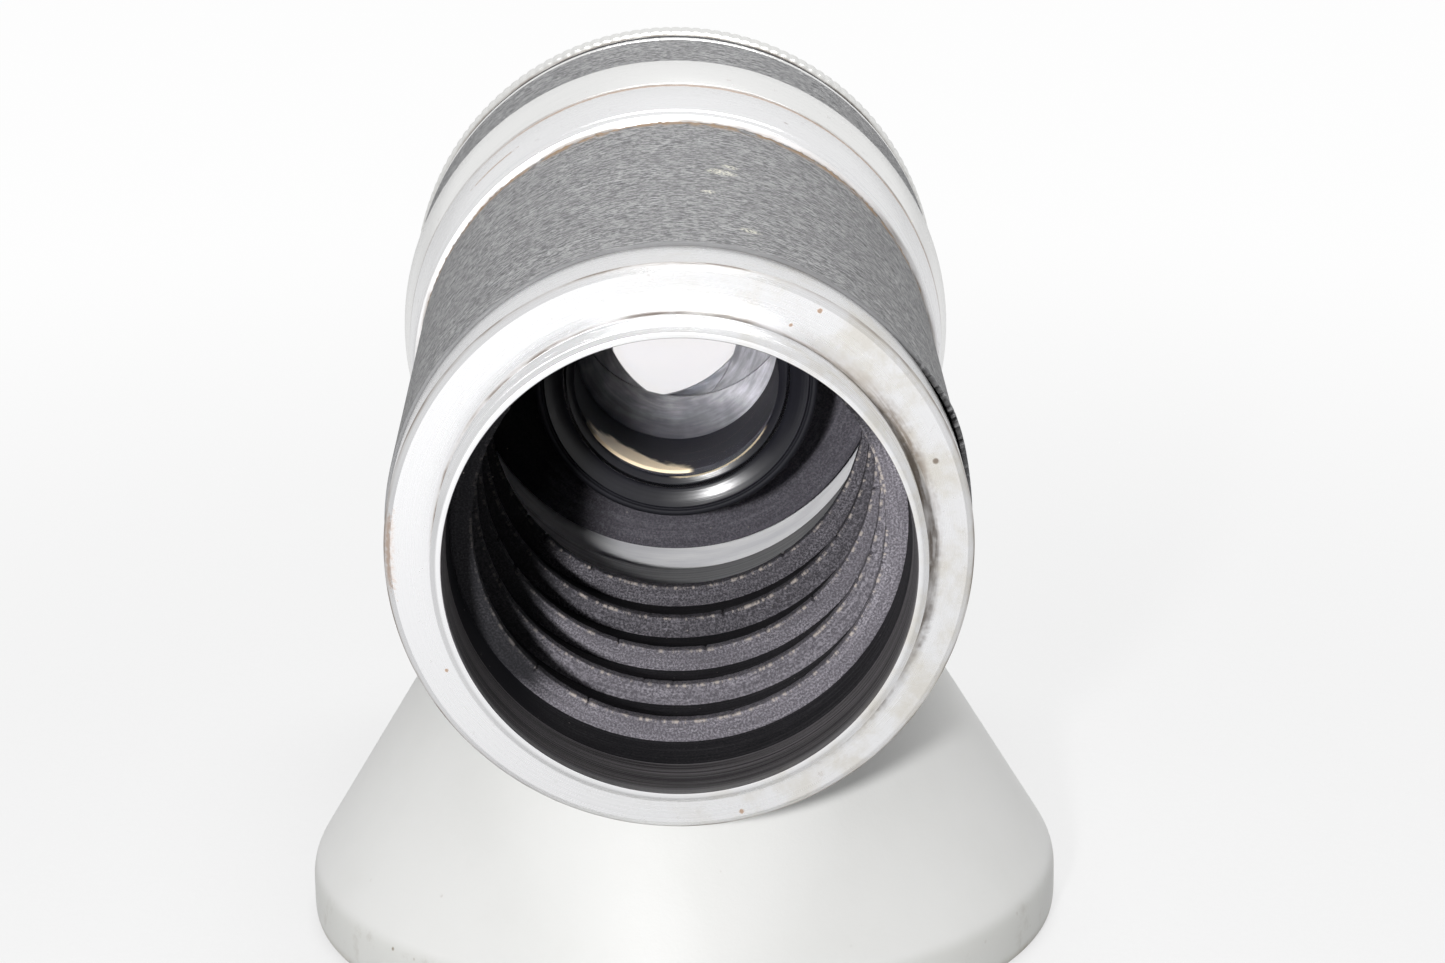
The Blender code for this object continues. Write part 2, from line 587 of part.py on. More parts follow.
def build_front_cell(axis):
    """Front cell with its two elements, their retaining rings and the trim ring in front."""
    middle_bore = MIDDLE_GLASS_RADIUS + FIT_GAP
    middle_clear = MIDDLE_GLASS_RADIUS - GLASS_SEAT
    outline = [
        (FRONT_CELL_REAR, middle_bore),
        (FRONT_CELL_REAR, FRONT_CELL_RADIUS),
        (CELL_FLANGE_REAR, FRONT_CELL_RADIUS),
        (CELL_FLANGE_REAR, NOSE_BORE - FIT_GAP),
        (CELL_FLANGE_FRONT, NOSE_BORE - FIT_GAP),
        (CELL_FLANGE_FRONT, FRONT_CELL_RADIUS),
        (FRONT_CELL_FRONT, FRONT_CELL_RADIUS),
        (FRONT_CELL_FRONT, FRONT_CELL_BORE),
        (SHOULDER_FRONT, FRONT_CELL_BORE),
        (SHOULDER_FRONT, middle_clear),
        (SHOULDER_REAR, middle_clear),
        (SHOULDER_REAR, middle_bore),
    ]
    cell = add_object("front_cell", lathe(outline), axis, BLACK_PAINT)
    notch = [
        (CELL_FLANGE_REAR - CUT_OVERRUN, LINK_INNER - FIT_GAP),
        (CELL_FLANGE_REAR - CUT_OVERRUN, HEAD_BORE),
        (CELL_FLANGE_FRONT + CUT_OVERRUN, HEAD_BORE),
        (CELL_FLANGE_FRONT + CUT_OVERRUN, LINK_INNER - FIT_GAP),
    ]
    spread = LINK_SPREAD / 2.0 + math.asin(RUN_GAP / LINK_INNER)
    start = LINK_ANGLE - APERTURE_OPEN - spread
    cutter = lathe(notch, PIN_STEPS, start, APERTURE_OPEN + APERTURE_CLOSE + 2.0 * spread)
    boolean(cell, add_object("link_notch", cutter, axis))
    middle = glass(
        MIDDLE_GLASS_REAR,
        MIDDLE_GLASS_FRONT,
        MIDDLE_GLASS_RADIUS,
        MIDDLE_GLASS_HOLLOW,
        -MIDDLE_GLASS_HOLLOW,
    )
    add_object("middle_element", middle, axis, COATED_GLASS)
    middle_ring_front = MIDDLE_RING_REAR + RETAINING_RING
    keeper = ring(MIDDLE_RING_REAR, middle_ring_front, middle_clear, MIDDLE_GLASS_RADIUS, INNER_STEPS)
    add_object("middle_retaining_ring", keeper, axis, BLACK_PAINT)
    front = glass(
        FRONT_GLASS_REAR, FRONT_GLASS_FRONT, FRONT_GLASS_RADIUS, FRONT_GLASS_HOLLOW, FRONT_GLASS_SAG
    )
    add_object("front_element", front, axis, COATED_GLASS)
    front_clear = FRONT_GLASS_RADIUS - GLASS_SEAT
    front_ring_front = FRONT_RING_REAR + RETAINING_RING
    keeper = ring(FRONT_RING_REAR, front_ring_front, front_clear, FRONT_GLASS_RADIUS, INNER_STEPS)
    add_object("front_retaining_ring", keeper, axis, BLACK_PAINT)
    trim = ring(TRIM_REAR, TRIM_FRONT, FRONT_CELL_RADIUS + FIT_GAP, NOSE_BORE - FIT_GAP)
    add_object("front_trim_ring", trim, axis, BLACK_PAINT)


def build_aperture_ring(axis):
    """Aperture ring, and the pin and link that carry its turn to the cam ring behind the front cell."""
    outline = [
        (APERTURE_START, APERTURE_BORE),
        (APERTURE_START, APERTURE_RADIUS - APERTURE_EDGE),
        (APERTURE_START + APERTURE_EDGE, APERTURE_RADIUS),
        (APERTURE_END - APERTURE_EDGE, APERTURE_RADIUS),
        (APERTURE_END, APERTURE_RADIUS - APERTURE_EDGE),
        (APERTURE_END, APERTURE_BORE),
    ]
    aperture = add_object("aperture_ring", lathe(outline), axis, CHROME)
    placing = radial(LINK_PIN_DEPTH, LINK_ANGLE)
    seat = APERTURE_BORE + APERTURE_WALL / 2.0
    drill(aperture, "aperture_pin_hole", LINK_PIN_RADIUS + FIT_GAP, NOSE_RADIUS, seat, placing)
    pin = rod(LINK_PIN_RADIUS, LINK_OUTER + FIT_GAP, seat - FIT_GAP, placing)
    add_object("aperture_pin", pin, axis, STEEL)
    bar = [
        (CAM_FRONT + FIT_GAP, LINK_INNER),
        (CAM_FRONT + FIT_GAP, LINK_OUTER),
        (LINK_END, LINK_OUTER),
        (LINK_END, LINK_INNER),
    ]
    link = lathe(bar, LINK_STEPS, LINK_ANGLE - LINK_SPREAD / 2.0, LINK_SPREAD)
    add_object("aperture_link", link, axis, STEEL)
    cam = ring(CAM_REAR, CAM_FRONT, BLADE_INNER + FIT_GAP, INSIDE_HEAD, INNER_STEPS)
    add_object("iris_cam_ring", cam, axis, BLACK_PAINT)


def blade_outline():
    """Outline of one wide-open blade round its pivot: a band round the lens axis with an ear for the pin."""
    points = []
    for step in range(BLADE_ARC_STEPS + 1):
        angle = BLADE_SWEEP * step / BLADE_ARC_STEPS
        points.append((BLADE_INNER * math.cos(angle), BLADE_INNER * math.sin(angle)))
    ear_clear = PIVOT_EAR_RADIUS / BLADE_OUTER
    for step in range(BLADE_ARC_STEPS + 1):
        angle = BLADE_SWEEP - (BLADE_SWEEP - ear_clear) * step / BLADE_ARC_STEPS
        points.append((BLADE_OUTER * math.cos(angle), BLADE_OUTER * math.sin(angle)))
    for step in range(PIVOT_EAR_STEPS + 1):
        angle = math.pi / 2.0 - math.pi * step / PIVOT_EAR_STEPS
        across = PIVOT_CIRCLE + PIVOT_EAR_RADIUS * math.cos(angle)
        points.append((across, PIVOT_EAR_RADIUS * math.sin(angle)))
    return [(across - PIVOT_CIRCLE, along) for across, along in points]


def build_iris(axis):
    """Base ring with its pivot holes, and the blades, each in a layer of its own on its own pivot."""
    base = ring(IRIS_BASE_REAR, IRIS_BASE_FRONT, BLADE_INNER + FIT_GAP, INSIDE_HEAD, INNER_STEPS)
    base = add_object("iris_base_ring", base, axis, BLACK_PAINT)
    for index in range(BLADE_COUNT):
        name = f"iris_blade_{index + 1:02d}"
        angle = index * FULL_TURN / BLADE_COUNT
        layer = BLADE_START + index * BLADE_PITCH
        pivot = bpy.data.objects.new(name + "_pivot", None)
        bpy.context.scene.collection.objects.link(pivot)
        pivot.parent = axis
        pivot.location = (PIVOT_CIRCLE * math.cos(angle), PIVOT_CIRCLE * math.sin(angle), layer)
        pivot.rotation_euler = (0.0, 0.0, angle + REST_ANGLE)
        shape = bmesh.new()
        corners = [shape.verts.new((across, along, 0.0)) for across, along in blade_outline()]
        face = shape.faces.new(corners)
        grown = bmesh.ops.extrude_face_region(shape, geom=[face], use_keep_orig=True)["geom"]
        raised = [item for item in grown if isinstance(item, bmesh.types.BMVert)]
        bmesh.ops.translate(shape, verts=raised, vec=(0, 0, BLADE_THICKNESS))
        bmesh.ops.recalc_face_normals(shape, faces=shape.faces)
        blade = add_object(name, shape, pivot, BLADE_STEEL)
        pin_low = IRIS_BASE_REAR + FIT_GAP - layer
        pin = rod(PIVOT_PIN_RADIUS, pin_low, BLADE_THICKNESS / 2.0, Matrix.Identity(4))
        boolean(blade, add_object(name + "_pin", pin, pivot), "UNION")
        hole = PIVOT_PIN_RADIUS + FIT_GAP
        low = IRIS_BASE_REAR - CUT_OVERRUN
        high = IRIS_BASE_FRONT + CUT_OVERRUN
        drill(base, name + "_hole", hole, low, high, axial(PIVOT_CIRCLE, angle))


def build_stand(axis):
    """Cradle stand: a flared foot with a rim, cut to the lens where it lies."""
    top = AXIS_HEIGHT - SADDLE_DROP
    outline = [
        (0.0, 0.0),
        (0.0, STAND_RADIUS - STAND_FOOT_CHAMFER),
        (STAND_FOOT_CHAMFER, STAND_RADIUS),
        (STAND_RIM - STAND_ROUND, STAND_RADIUS),
        (STAND_RIM, STAND_RADIUS - STAND_ROUND_IN),
        (STAND_RIM + STAND_ROUND, STAND_RADIUS - STAND_FLANK_SLOPE * STAND_ROUND),
        (top, STAND_RADIUS - STAND_FLANK_SLOPE * (top - STAND_RIM)),
        (top, 0.0),
    ]
    stand = add_object("stand_body", lathe(outline), None, WHITE_PLASTIC)
    stand.location = (0.0, STAND_DEPTH - FRONT_END / 2.0, 0.0)
    widest = max(BAND_RADIUS, COLLAR_REAR_RADIUS)
    collar_radius = max(BAND_REAR_RADIUS, COLLAR_REAR_RADIUS)
    saddle = [
        (-STAND_RADIUS, 0.0),
        (-STAND_RADIUS, WRAP_RADIUS + FIT_GAP),
        (WRAP_END, WRAP_RADIUS + FIT_GAP),
        (WRAP_END, collar_radius + RUN_GAP),
        (COLLAR_END, collar_radius + RUN_GAP),
        (COLLAR_END, widest + RUN_GAP),
        (FRONT_END + STAND_RADIUS, widest + RUN_GAP),
        (FRONT_END + STAND_RADIUS, 0.0),
    ]
    boolean(stand, add_object("saddle_cut", lathe(saddle), axis))


def main():
    """Builds the lens on its axis, then the stand under it."""
    clear_scene()
    axis = bpy.data.objects.new("lens_axis", None)
    bpy.context.scene.collection.objects.link(axis)
    axis.location = (0.0, -FRONT_END / 2.0, AXIS_HEIGHT)
    axis.rotation_euler = (-math.pi / 2.0, 0.0, 0.0)
    build_mount(axis)
    build_tube(axis)
    build_baffles(axis)
    build_collar(axis)
    build_focus_ring(axis)
    build_head(axis)
    build_rear_cell(axis)
    build_iris(axis)
    build_front_cell(axis)
    build_aperture_ring(axis)
    build_stand(axis)


main()
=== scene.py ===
"""Studio picture of a screw-mount telephoto lens that lies on a white cradle stand.

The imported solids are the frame. Each turned piece is drawn again here as a closed outline of points
(depth, radius) in millimetres, which is spun finely round the lens axis. Depth runs forward along that axis
from the rear rim. Angles run clockwise from the top, seen from the rear. Each piece rides its solid's body.
"""

import json
import logging
import math
from collections.abc import Callable, Sequence
from dataclasses import dataclass, field
from enum import Enum

import bmesh
import bpy
import numpy as np
from mathutils import Matrix, Vector


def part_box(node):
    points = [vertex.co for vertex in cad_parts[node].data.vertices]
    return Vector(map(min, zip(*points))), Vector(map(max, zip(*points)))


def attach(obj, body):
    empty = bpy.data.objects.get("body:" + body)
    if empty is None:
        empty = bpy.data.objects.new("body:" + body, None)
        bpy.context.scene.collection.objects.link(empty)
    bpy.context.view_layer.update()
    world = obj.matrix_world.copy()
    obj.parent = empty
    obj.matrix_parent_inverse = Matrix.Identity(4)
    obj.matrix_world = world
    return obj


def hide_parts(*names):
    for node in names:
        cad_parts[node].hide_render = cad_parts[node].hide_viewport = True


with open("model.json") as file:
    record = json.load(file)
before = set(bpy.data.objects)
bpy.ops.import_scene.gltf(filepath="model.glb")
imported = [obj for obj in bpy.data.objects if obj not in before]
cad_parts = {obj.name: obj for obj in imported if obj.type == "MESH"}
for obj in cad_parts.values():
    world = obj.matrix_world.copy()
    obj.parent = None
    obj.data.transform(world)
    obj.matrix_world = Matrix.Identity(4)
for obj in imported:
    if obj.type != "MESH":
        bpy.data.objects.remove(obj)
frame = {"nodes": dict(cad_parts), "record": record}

LOG = logging.getLogger("lens")
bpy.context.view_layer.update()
MM = 0.001
FULL_TURN = 2.0 * math.pi
REAR_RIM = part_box("mount_flange")[0].y
AXIS_HEIGHT = (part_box("mount_flange")[0].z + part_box("mount_flange")[1].z) / 2.0
SHARP_ANGLE = math.radians(35.0)
WELD = 1e-7
CORNER_CUTS = 3
FEW_CUTS = 2
CORNER_SHARE = 0.45
COVER_MESH = 0.8
HOLE_SIDES = 32
OVERRUN = 1.0
SAME_RADIUS = 0.01
PAINT_EDGE = 0.05

Socket = bpy.types.NodeSocket
Object = bpy.types.Object
Material = bpy.types.Material
Point = tuple[float, float]
Colour = tuple[float, float, float]
WHITE: Colour = (1.0, 1.0, 1.0)
Field = np.ndarray
Warp = Callable[[Field, Field, Field], tuple[Field, Field]]


class Fineness(Enum):
    """Number of facets round the lens axis."""

    FINE = 640
    ROUND = 320
    SMALL = 160


class Part(Enum):
    """Shader sockets that take a value which changes over the surface."""

    COLOUR = "Base Color"
    ROUGHNESS = "Roughness"
    METALLIC = "Metallic"
    NORMAL = "Normal"


# Shader maths


class Value:
    """A number socket of a node graph, with Python's operators."""

    def __init__(self, graph: "Graph", socket: Socket) -> None:
        """Keeps the graph and the socket."""
        self.graph = graph
        self.socket = socket

    def _math(self, operation: str, *inputs: "Value | float") -> "Value":
        """Adds one Math node.

        Args:
            operation: the Math node's operation.
            inputs: its inputs in order.

        Returns:
            The node's result.
        """
        return self.graph.value("ShaderNodeMath", {"operation": operation}, dict(enumerate(inputs)))

    def __add__(self, other: "Value | float") -> "Value":
        """The sum."""
        return self._math("ADD", self, other)

    def __sub__(self, other: "Value | float") -> "Value":
        """The difference."""
        return self._math("SUBTRACT", self, other)

    def __rsub__(self, other: float) -> "Value":
        """The difference, the other way round."""
        return self._math("SUBTRACT", other, self)

    def __mul__(self, other: "Value | float") -> "Value":
        """The product."""
        return self._math("MULTIPLY", self, other)

    def __truediv__(self, other: "Value | float") -> "Value":
        """The quotient."""
        return self._math("DIVIDE", self, other)

    __radd__ = __add__
    __rmul__ = __mul__

    def __abs__(self) -> "Value":
        """The size without its sign."""
        return self._math("ABSOLUTE", self)

    def root(self) -> "Value":
        """The square root."""
        return self._math("SQRT", self)

    def fraction(self) -> "Value":
        """The part after the decimal point."""
        return self._math("FRACT", self)

    def at_most(self, other: "Value | float") -> "Value":
        """The smaller of the two."""
        return self._math("MINIMUM", self, other)

    def at_least(self, other: "Value | float") -> "Value":
        """The larger of the two."""
        return self._math("MAXIMUM", self, other)

    def rises(self, low: float, high: float) -> "Value":
        """A smooth step.

        Args:
            low: where it is 0.
            high: where it is 1; below low, the step falls.

        Returns:
            A value from 0 to 1.
        """
        if low > high:
            return 1.0 - self.rises(high, low)
        inputs = {"Value": self, "From Min": low, "From Max": high}
        return self.graph.value("ShaderNodeMapRange", {"interpolation_type": "SMOOTHSTEP"}, inputs)

    def toward(self, other: float, share: "Value") -> "Value":
        """This value, moved toward another by a share."""
        return self + share * (other - self)

    def near(self, middle: float, reach: float) -> "Value":
        """A soft band that is 1 at the middle and 0 from the reach on."""
        return abs(self - middle).rises(reach, 0.0)


Linked = Value | Socket | float | Sequence[float]


class Graph:
    """Adds nodes to one node tree."""

    def __init__(self, tree: bpy.types.NodeTree) -> None:
        """Keeps the tree."""
        self.tree = tree

    def node(
        self,
        kind: str,
        settings: dict[str, object] | None = None,
        inputs: dict[str | int, Linked] | None = None,
    ) -> bpy.types.Node:
        """Adds any node.

        Args:
            kind: the node's type.
            settings: its properties, set first.
            inputs: socket name or number to a value or a link.

        Returns:
            The node.
        """
        made = self.tree.nodes.new(kind)
        for name, setting in (settings or {}).items():
            setattr(made, name, setting)
        for name, source in (inputs or {}).items():
            self.feed(made.inputs[name], source)
        return made

    def feed(self, socket: Socket, source: Linked) -> None:
        """Links a socket, or sets its value.

        Args:
            socket: the input.
            source: a value, a socket, a number or a colour.
        """
        if isinstance(source, Value):
            source = source.socket
        if isinstance(source, Socket):
            self.tree.links.new(source, socket)
        elif socket.type == "RGBA" and len(source) == len(WHITE):
            socket.default_value = (*source, 1.0)
        else:
            socket.default_value = source

    def value(
        self, kind: str, settings: dict[str, object], inputs: dict[str | int, Linked], output: str | int = 0
    ) -> Value:
        """Adds a node and wraps one of its outputs.

        Args:
            kind: the node's type.
            settings: its properties.
            inputs: its inputs.
            output: which output to wrap.

        Returns:
            The output as a value.
        """
        return Value(self, self.node(kind, settings, inputs).outputs[output])

    def vector(self, across: Linked, along: Linked, up: Linked) -> Socket:
        """Three values as one vector."""
        return self.node("ShaderNodeCombineXYZ", None, {"X": across, "Y": along, "Z": up}).outputs[0]

    def noise(self, place: Socket, scale: float, detail: float = 3.0, rough: float = 0.55) -> Value:
        """Cloudy noise.

        Args:
            place: where it is read.
            scale: how fine it is.
            detail: how many finer layers it has.
            rough: how strong those are.

        Returns:
            A value about 0.5.
        """
        inputs = {"Vector": place, "Scale": scale, "Detail": detail, "Roughness": rough}
        return self.value("ShaderNodeTexNoise", {}, inputs, "Fac")

    def cells(self, place: Socket, scale: float) -> Value:
        """Distance to the nearest of many scattered points."""
        return self.value("ShaderNodeTexVoronoi", {}, {"Vector": place, "Scale": scale}, "Distance")

    def blend(self, share: Linked, low: Linked, high: Linked) -> Socket:
        """A colour between two.

        Args:
            share: 0 for the first colour and 1 for the second.
            low: the first colour.
            high: the second colour.

        Returns:
            The mixed colour.
        """
        mixer = self.node("ShaderNodeMix", {"data_type": "RGBA"}, {"Factor": share})
        first, second = [socket for socket in mixer.inputs if socket.type == "RGBA"]
        self.feed(first, low)
        self.feed(second, high)
        return next(socket for socket in mixer.outputs if socket.type == "RGBA")

    def bump(self, height: Value, depth: float, under: Socket | None = None) -> Socket:
        """Relief.

        Args:
            height: from 0 to 1.
            depth: the relief's depth in millimetres.
            under: another bump's normal, to add to.

        Returns:
            The normal.
        """
        inputs = {"Height": height, "Distance": depth * MM}
        if under is not None:
            inputs["Normal"] = under
        return self.node("ShaderNodeBump", None, inputs).outputs[0]


class Surface(Graph):
    """The nodes of one material, on a Principled shader."""

    def __init__(self, name: str) -> None:
        """Makes the material with its shader and its output.

        Args:
            name: the material's name.
        """
        self.material = bpy.data.materials.new(name)
        self.material.use_nodes = True
        super().__init__(self.material.node_tree)
        self.shader = self.tree.nodes["Principled BSDF"]
        self.output = self.tree.nodes["Material Output"]

    def show(self, shader: Socket, instead: Socket, share: Linked) -> None:
        """Puts two shaders on the output.

        Args:
            shader: the one shown where the share is 0.
            instead: the one shown where it is 1.
            share: how much of the second shows.
        """
        mixed = self.node("ShaderNodeMixShader", None, {0: share, 1: shader, 2: instead}).outputs[0]
        self.feed(self.output.inputs["Surface"], mixed)

    def finish(self, varying: dict[Part, Linked], **fixed: Linked) -> Material:
        """Feeds the shader.

        Args:
            varying: what changes over the surface.
            fixed: constants by socket name, with an underscore for a space.

        Returns:
            The finished material.
        """
        for part, source in varying.items():
            self.feed(self.shader.inputs[part.value], source)
        for name, source in fixed.items():
            self.feed(self.shader.inputs[name.replace("_", " ")], source)
        return self.material


class LensSpace:
    """Places on the lens in millimetres: depth from the rear rim, radius, and a seamless direction."""

    def __init__(self, graph: Graph) -> None:
        """Reads the object's own coordinates.

        Args:
            graph: the material's graph.
        """
        self.graph = graph
        self.place = graph.node("ShaderNodeTexCoord").outputs["Object"]
        split = graph.node("ShaderNodeSeparateXYZ", None, {"Vector": self.place}).outputs
        self.across = Value(graph, split["X"]) / MM
        self.depth = (Value(graph, split["Y"]) - REAR_RIM) / MM
        self.up = (Value(graph, split["Z"]) - AXIS_HEIGHT) / MM
        self.radius = (self.across * self.across + self.up * self.up).root()

    def grain(self, around: float, along: float, out: float) -> Socket:
        """Coordinates stretched round the axis.

        Args:
            around: features in a turn, roughly, times six.
            along: features for each millimetre of depth.
            out: features for each millimetre of radius.

        Returns:
            The vector for a noise node of scale 1.
        """
        sideways = self.across / self.radius * around
        lengthwise = self.depth * along + self.radius * out
        return self.graph.vector(sideways, lengthwise, self.up / self.radius * around)

    def even(self) -> Socket:
        """Coordinates in millimetres, with no stretch."""
        return self.graph.vector(self.across, self.depth, self.up)

    def within(self, radius: float, edge: float = PAINT_EDGE) -> Value:
        """1 up to a radius and 0 beyond its edge."""
        return self.radius.rises(radius + edge, radius)

    def facing(self, angle: float) -> Value:
        """How far a place lies to one side of the axis.

        Args:
            angle: the side, in degrees clockwise from the top, seen from the rear.

        Returns:
            1 on that side, 0 at a right angle to it and -1 on the other side.
        """
        side = math.radians(angle)
        return (self.across * math.sin(side) + self.up * math.cos(side)) / self.radius


# Finishes


@dataclass(frozen=True)
class Mark:
    """A spot on the lens, or an arc round its axis where a spread is given.

    The angle and the spread to either side are in degrees, the rest in millimetres.
    """

    angle: float
    depth: float
    radius: float
    reach: float
    spread: float = 0.0
    length: float = 0.0

    def mask(self, space: LensSpace) -> Value:
        """Where the mark is.

        Args:
            space: places on the lens.

        Returns:
            1 on the mark and 0 away from it, with a ragged edge.
        """
        ragged = (space.graph.noise(space.even(), 1.6 / self.reach, 3.0) - 0.5) * self.reach
        if self.spread:
            facing = space.facing(self.angle) + ragged * 0.05
            ends = [math.cos(math.radians(self.spread * share)) for share in (1.0, 0.6)]
            band = (space.depth + ragged).near(self.depth, self.length or self.reach)
            return facing.rises(*ends) * band * (space.radius + ragged).near(self.radius, self.reach)
        side = math.radians(self.angle)
        away = (
            space.across - self.radius * math.sin(side),
            space.depth - self.depth,
            space.up - self.radius * math.cos(side),
        )
        across, along, up = [step * step for step in away]
        return ((across + along + up).root() + ragged).rises(self.reach, self.reach * 0.5)


@dataclass(frozen=True)
class TurnedMetal:
    """Bare or plated metal with fine turning lines, smudges, brown specks, dirt in its seams and painted
    shadows.
    """

    colour: Colour
    roughness: float
    # The dirt colour also tints the painted shadow arcs.
    dirt: Colour = (0.16, 0.12, 0.09)
    wear: float = 1.0
    seams: tuple[Point, ...] = ()
    seam_reach: float = 0.4
    marks: tuple[Mark, ...] = ()
    stain: Colour = (0.33, 0.19, 0.10)
    painted_shadows: tuple[Mark, ...] = ()
    gloss: float = 0.5
    raw_within: float = 0.0
    raw: Colour = (0.97, 0.97, 0.98)
    raw_dull: Colour = (0.80, 0.80, 0.83)
    inside_roughness: float = 0.42
    painted_within: float = 0.0
    paint: Colour = (0.030, 0.029, 0.031)
    paint_line_sheen: Colour = (0.34, 0.32, 0.33)
    right_side_grey: Colour = (0.66, 0.63, 0.57)
    right_side_clouds: float = 0.0

    def material(self, name: str) -> Material:
        """Builds the material.

        Args:
            name: its name.

        Returns:
            The material.
        """
        graph = Surface(name)
        space = LensSpace(graph)
        lines = graph.noise(space.grain(0.6, 9.0, 9.0), 1.0, 2.0)
        fine_lines = graph.noise(space.grain(1.5, 38.0, 38.0), 1.0, 1.0)
        smudge = graph.noise(space.grain(2.2, 0.35, 0.5), 1.0, 4.0)
        specks = graph.cells(space.even(), 0.42).rises(0.16, 0.07)
        specks = specks * graph.noise(space.even(), 0.11).rises(0.52, 0.66)
        grime = graph.noise(space.even(), 0.8, 5.0, 0.7).rises(0.60, 0.82) * 0.5
        trail = graph.noise(space.grain(5.0, 2.0, 2.0), 1.0, 4.0).rises(0.38, 0.62)
        for depth, radius in self.seams:
            corner = space.depth.near(depth, self.seam_reach) * space.radius.near(radius, self.seam_reach)
            grime = grime.at_least(corner * (0.35 + trail * 0.65))
        soiled = (specks.at_least(grime) * self.wear).at_most(1.0)
        dull = tuple(0.74 * part for part in self.colour)
        tint = graph.blend(lines * 0.35 + smudge * 0.30, self.colour, dull)
        if self.right_side_clouds:
            # Greyer mottled clouds, which spread over the right side only.
            clouds = graph.noise(space.even(), 0.22, 5.0, 0.65).rises(0.42, 0.66)
            clouds = clouds * space.across.rises(-12.0, 20.0)
            tint = graph.blend(clouds * self.right_side_clouds, tint, self.right_side_grey)
        tint = graph.blend(soiled * 0.85, tint, self.dirt)
        # Painted shadow: each arc is darkened to the dirt colour and, like dirt, made rougher and less
        # metallic.
        for mark in self.painted_shadows:
            shade = mark.mask(space) * (0.45 + trail * 0.55)
            tint = graph.blend(shade * 0.85, tint, self.dirt)
            soiled = soiled.at_least(shade)
        for mark in self.marks:
            stained = mark.mask(space)
            tint = graph.blend(stained * 0.8, tint, self.stain)
            soiled = soiled.at_least(stained)
        rough = self.roughness + lines * 0.10 + smudge * 0.10 - 0.10 + soiled * 0.35
        metal = 1.0 - soiled * 0.6
        if self.raw_within:
            raw = space.within(self.raw_within)
            tint = graph.blend(raw, tint, graph.blend(smudge.rises(0.35, 0.70), self.raw, self.raw_dull))
            rough = rough.toward(self.inside_roughness, raw)
            metal = metal * (1.0 - raw * 0.92)
        if self.painted_within:
            paint = space.within(self.painted_within)
            # The turning lines in the painted bore are real, and their light grey is a painted sheen.
            sheen_streaks = (lines * 0.5 + fine_lines * 0.5).rises(0.42, 0.64)
            tint = graph.blend(paint, tint, graph.blend(sheen_streaks, self.paint, self.paint_line_sheen))
            rough = rough.toward(self.inside_roughness, paint)
            metal = metal * (1.0 - paint)
        normal = graph.bump(lines * 0.6 + fine_lines * 0.4, 0.007)
        parts = {Part.COLOUR: tint, Part.ROUGHNESS: rough, Part.METALLIC: metal, Part.NORMAL: normal}
        return graph.finish(parts, Specular_IOR_Level=self.gloss)


@dataclass(frozen=True)
class Leatherette:
    """Black covering with fine wrinkles round the barrel, worn crests and a few pale flecks."""

    colour: Colour = (0.125, 0.126, 0.131)
    crest: Colour = (0.53, 0.53, 0.535)
    fleck: Colour = (0.86, 0.84, 0.72)
    rust: Colour = (0.34, 0.22, 0.12)
    roughness: float = 0.62
    gloss: float = 0.3
    relief: float = 0.3
    around: float = 24.0
    along: float = 3.0
    flecks: tuple[Mark, ...] = ()
    mid_shine: float = 0.4
    shadow_side_colour_until: float = 0.0
    frayed_at: float = 0.0

    def material(self, name: str) -> Material:
        """Builds the material.

        Args:
            name: its name.

        Returns:
            The material.
        """
        graph = Surface(name)
        space = LensSpace(graph)
        wrinkle = graph.noise(space.grain(self.around, self.along, 0.5), 1.0, 2.0)
        crease = graph.noise(space.grain(self.around * 2.4, self.along * 2.2, 0.5), 1.0, 2.0)
        pore = graph.noise(space.even(), 4.2, 2.0)
        height = wrinkle * 0.4 + crease * 0.45 + pore * 0.15
        worn = graph.noise(space.even(), 0.16, 3.0).rises(0.40, 0.72)
        away = space.depth.rises(self.shadow_side_colour_until, self.shadow_side_colour_until + 0.6)
        shine = (height.rises(0.42, 0.60) - self.mid_shine) * away + self.mid_shine
        tint = graph.blend(shine * (0.72 + worn * 0.28), self.colour, self.crest)
        dots = graph.cells(space.even(), 0.55).rises(0.11, 0.05)
        dots = dots * graph.noise(space.even(), 0.21).rises(0.58, 0.66)
        for fleck in self.flecks:
            dots = dots.at_least(fleck.mask(space) * pore.rises(0.40, 0.58))
        tint = graph.blend(dots * 0.75, tint, self.fleck)
        if self.frayed_at:
            fray = space.depth.rises(self.frayed_at - 2.6, self.frayed_at - 0.8)
            fray = fray * graph.noise(space.grain(14.0, 0.8, 0.8), 1.0, 4.0).rises(0.40, 0.56)
            tint = graph.blend(fray * 0.9, tint, self.rust)
        rough = self.roughness - shine * 0.12 + worn * 0.08
        normal = graph.bump(height * away, self.relief)
        parts = {Part.COLOUR: tint, Part.ROUGHNESS: rough, Part.NORMAL: normal}
        return graph.finish(parts, Specular_IOR_Level=self.gloss)


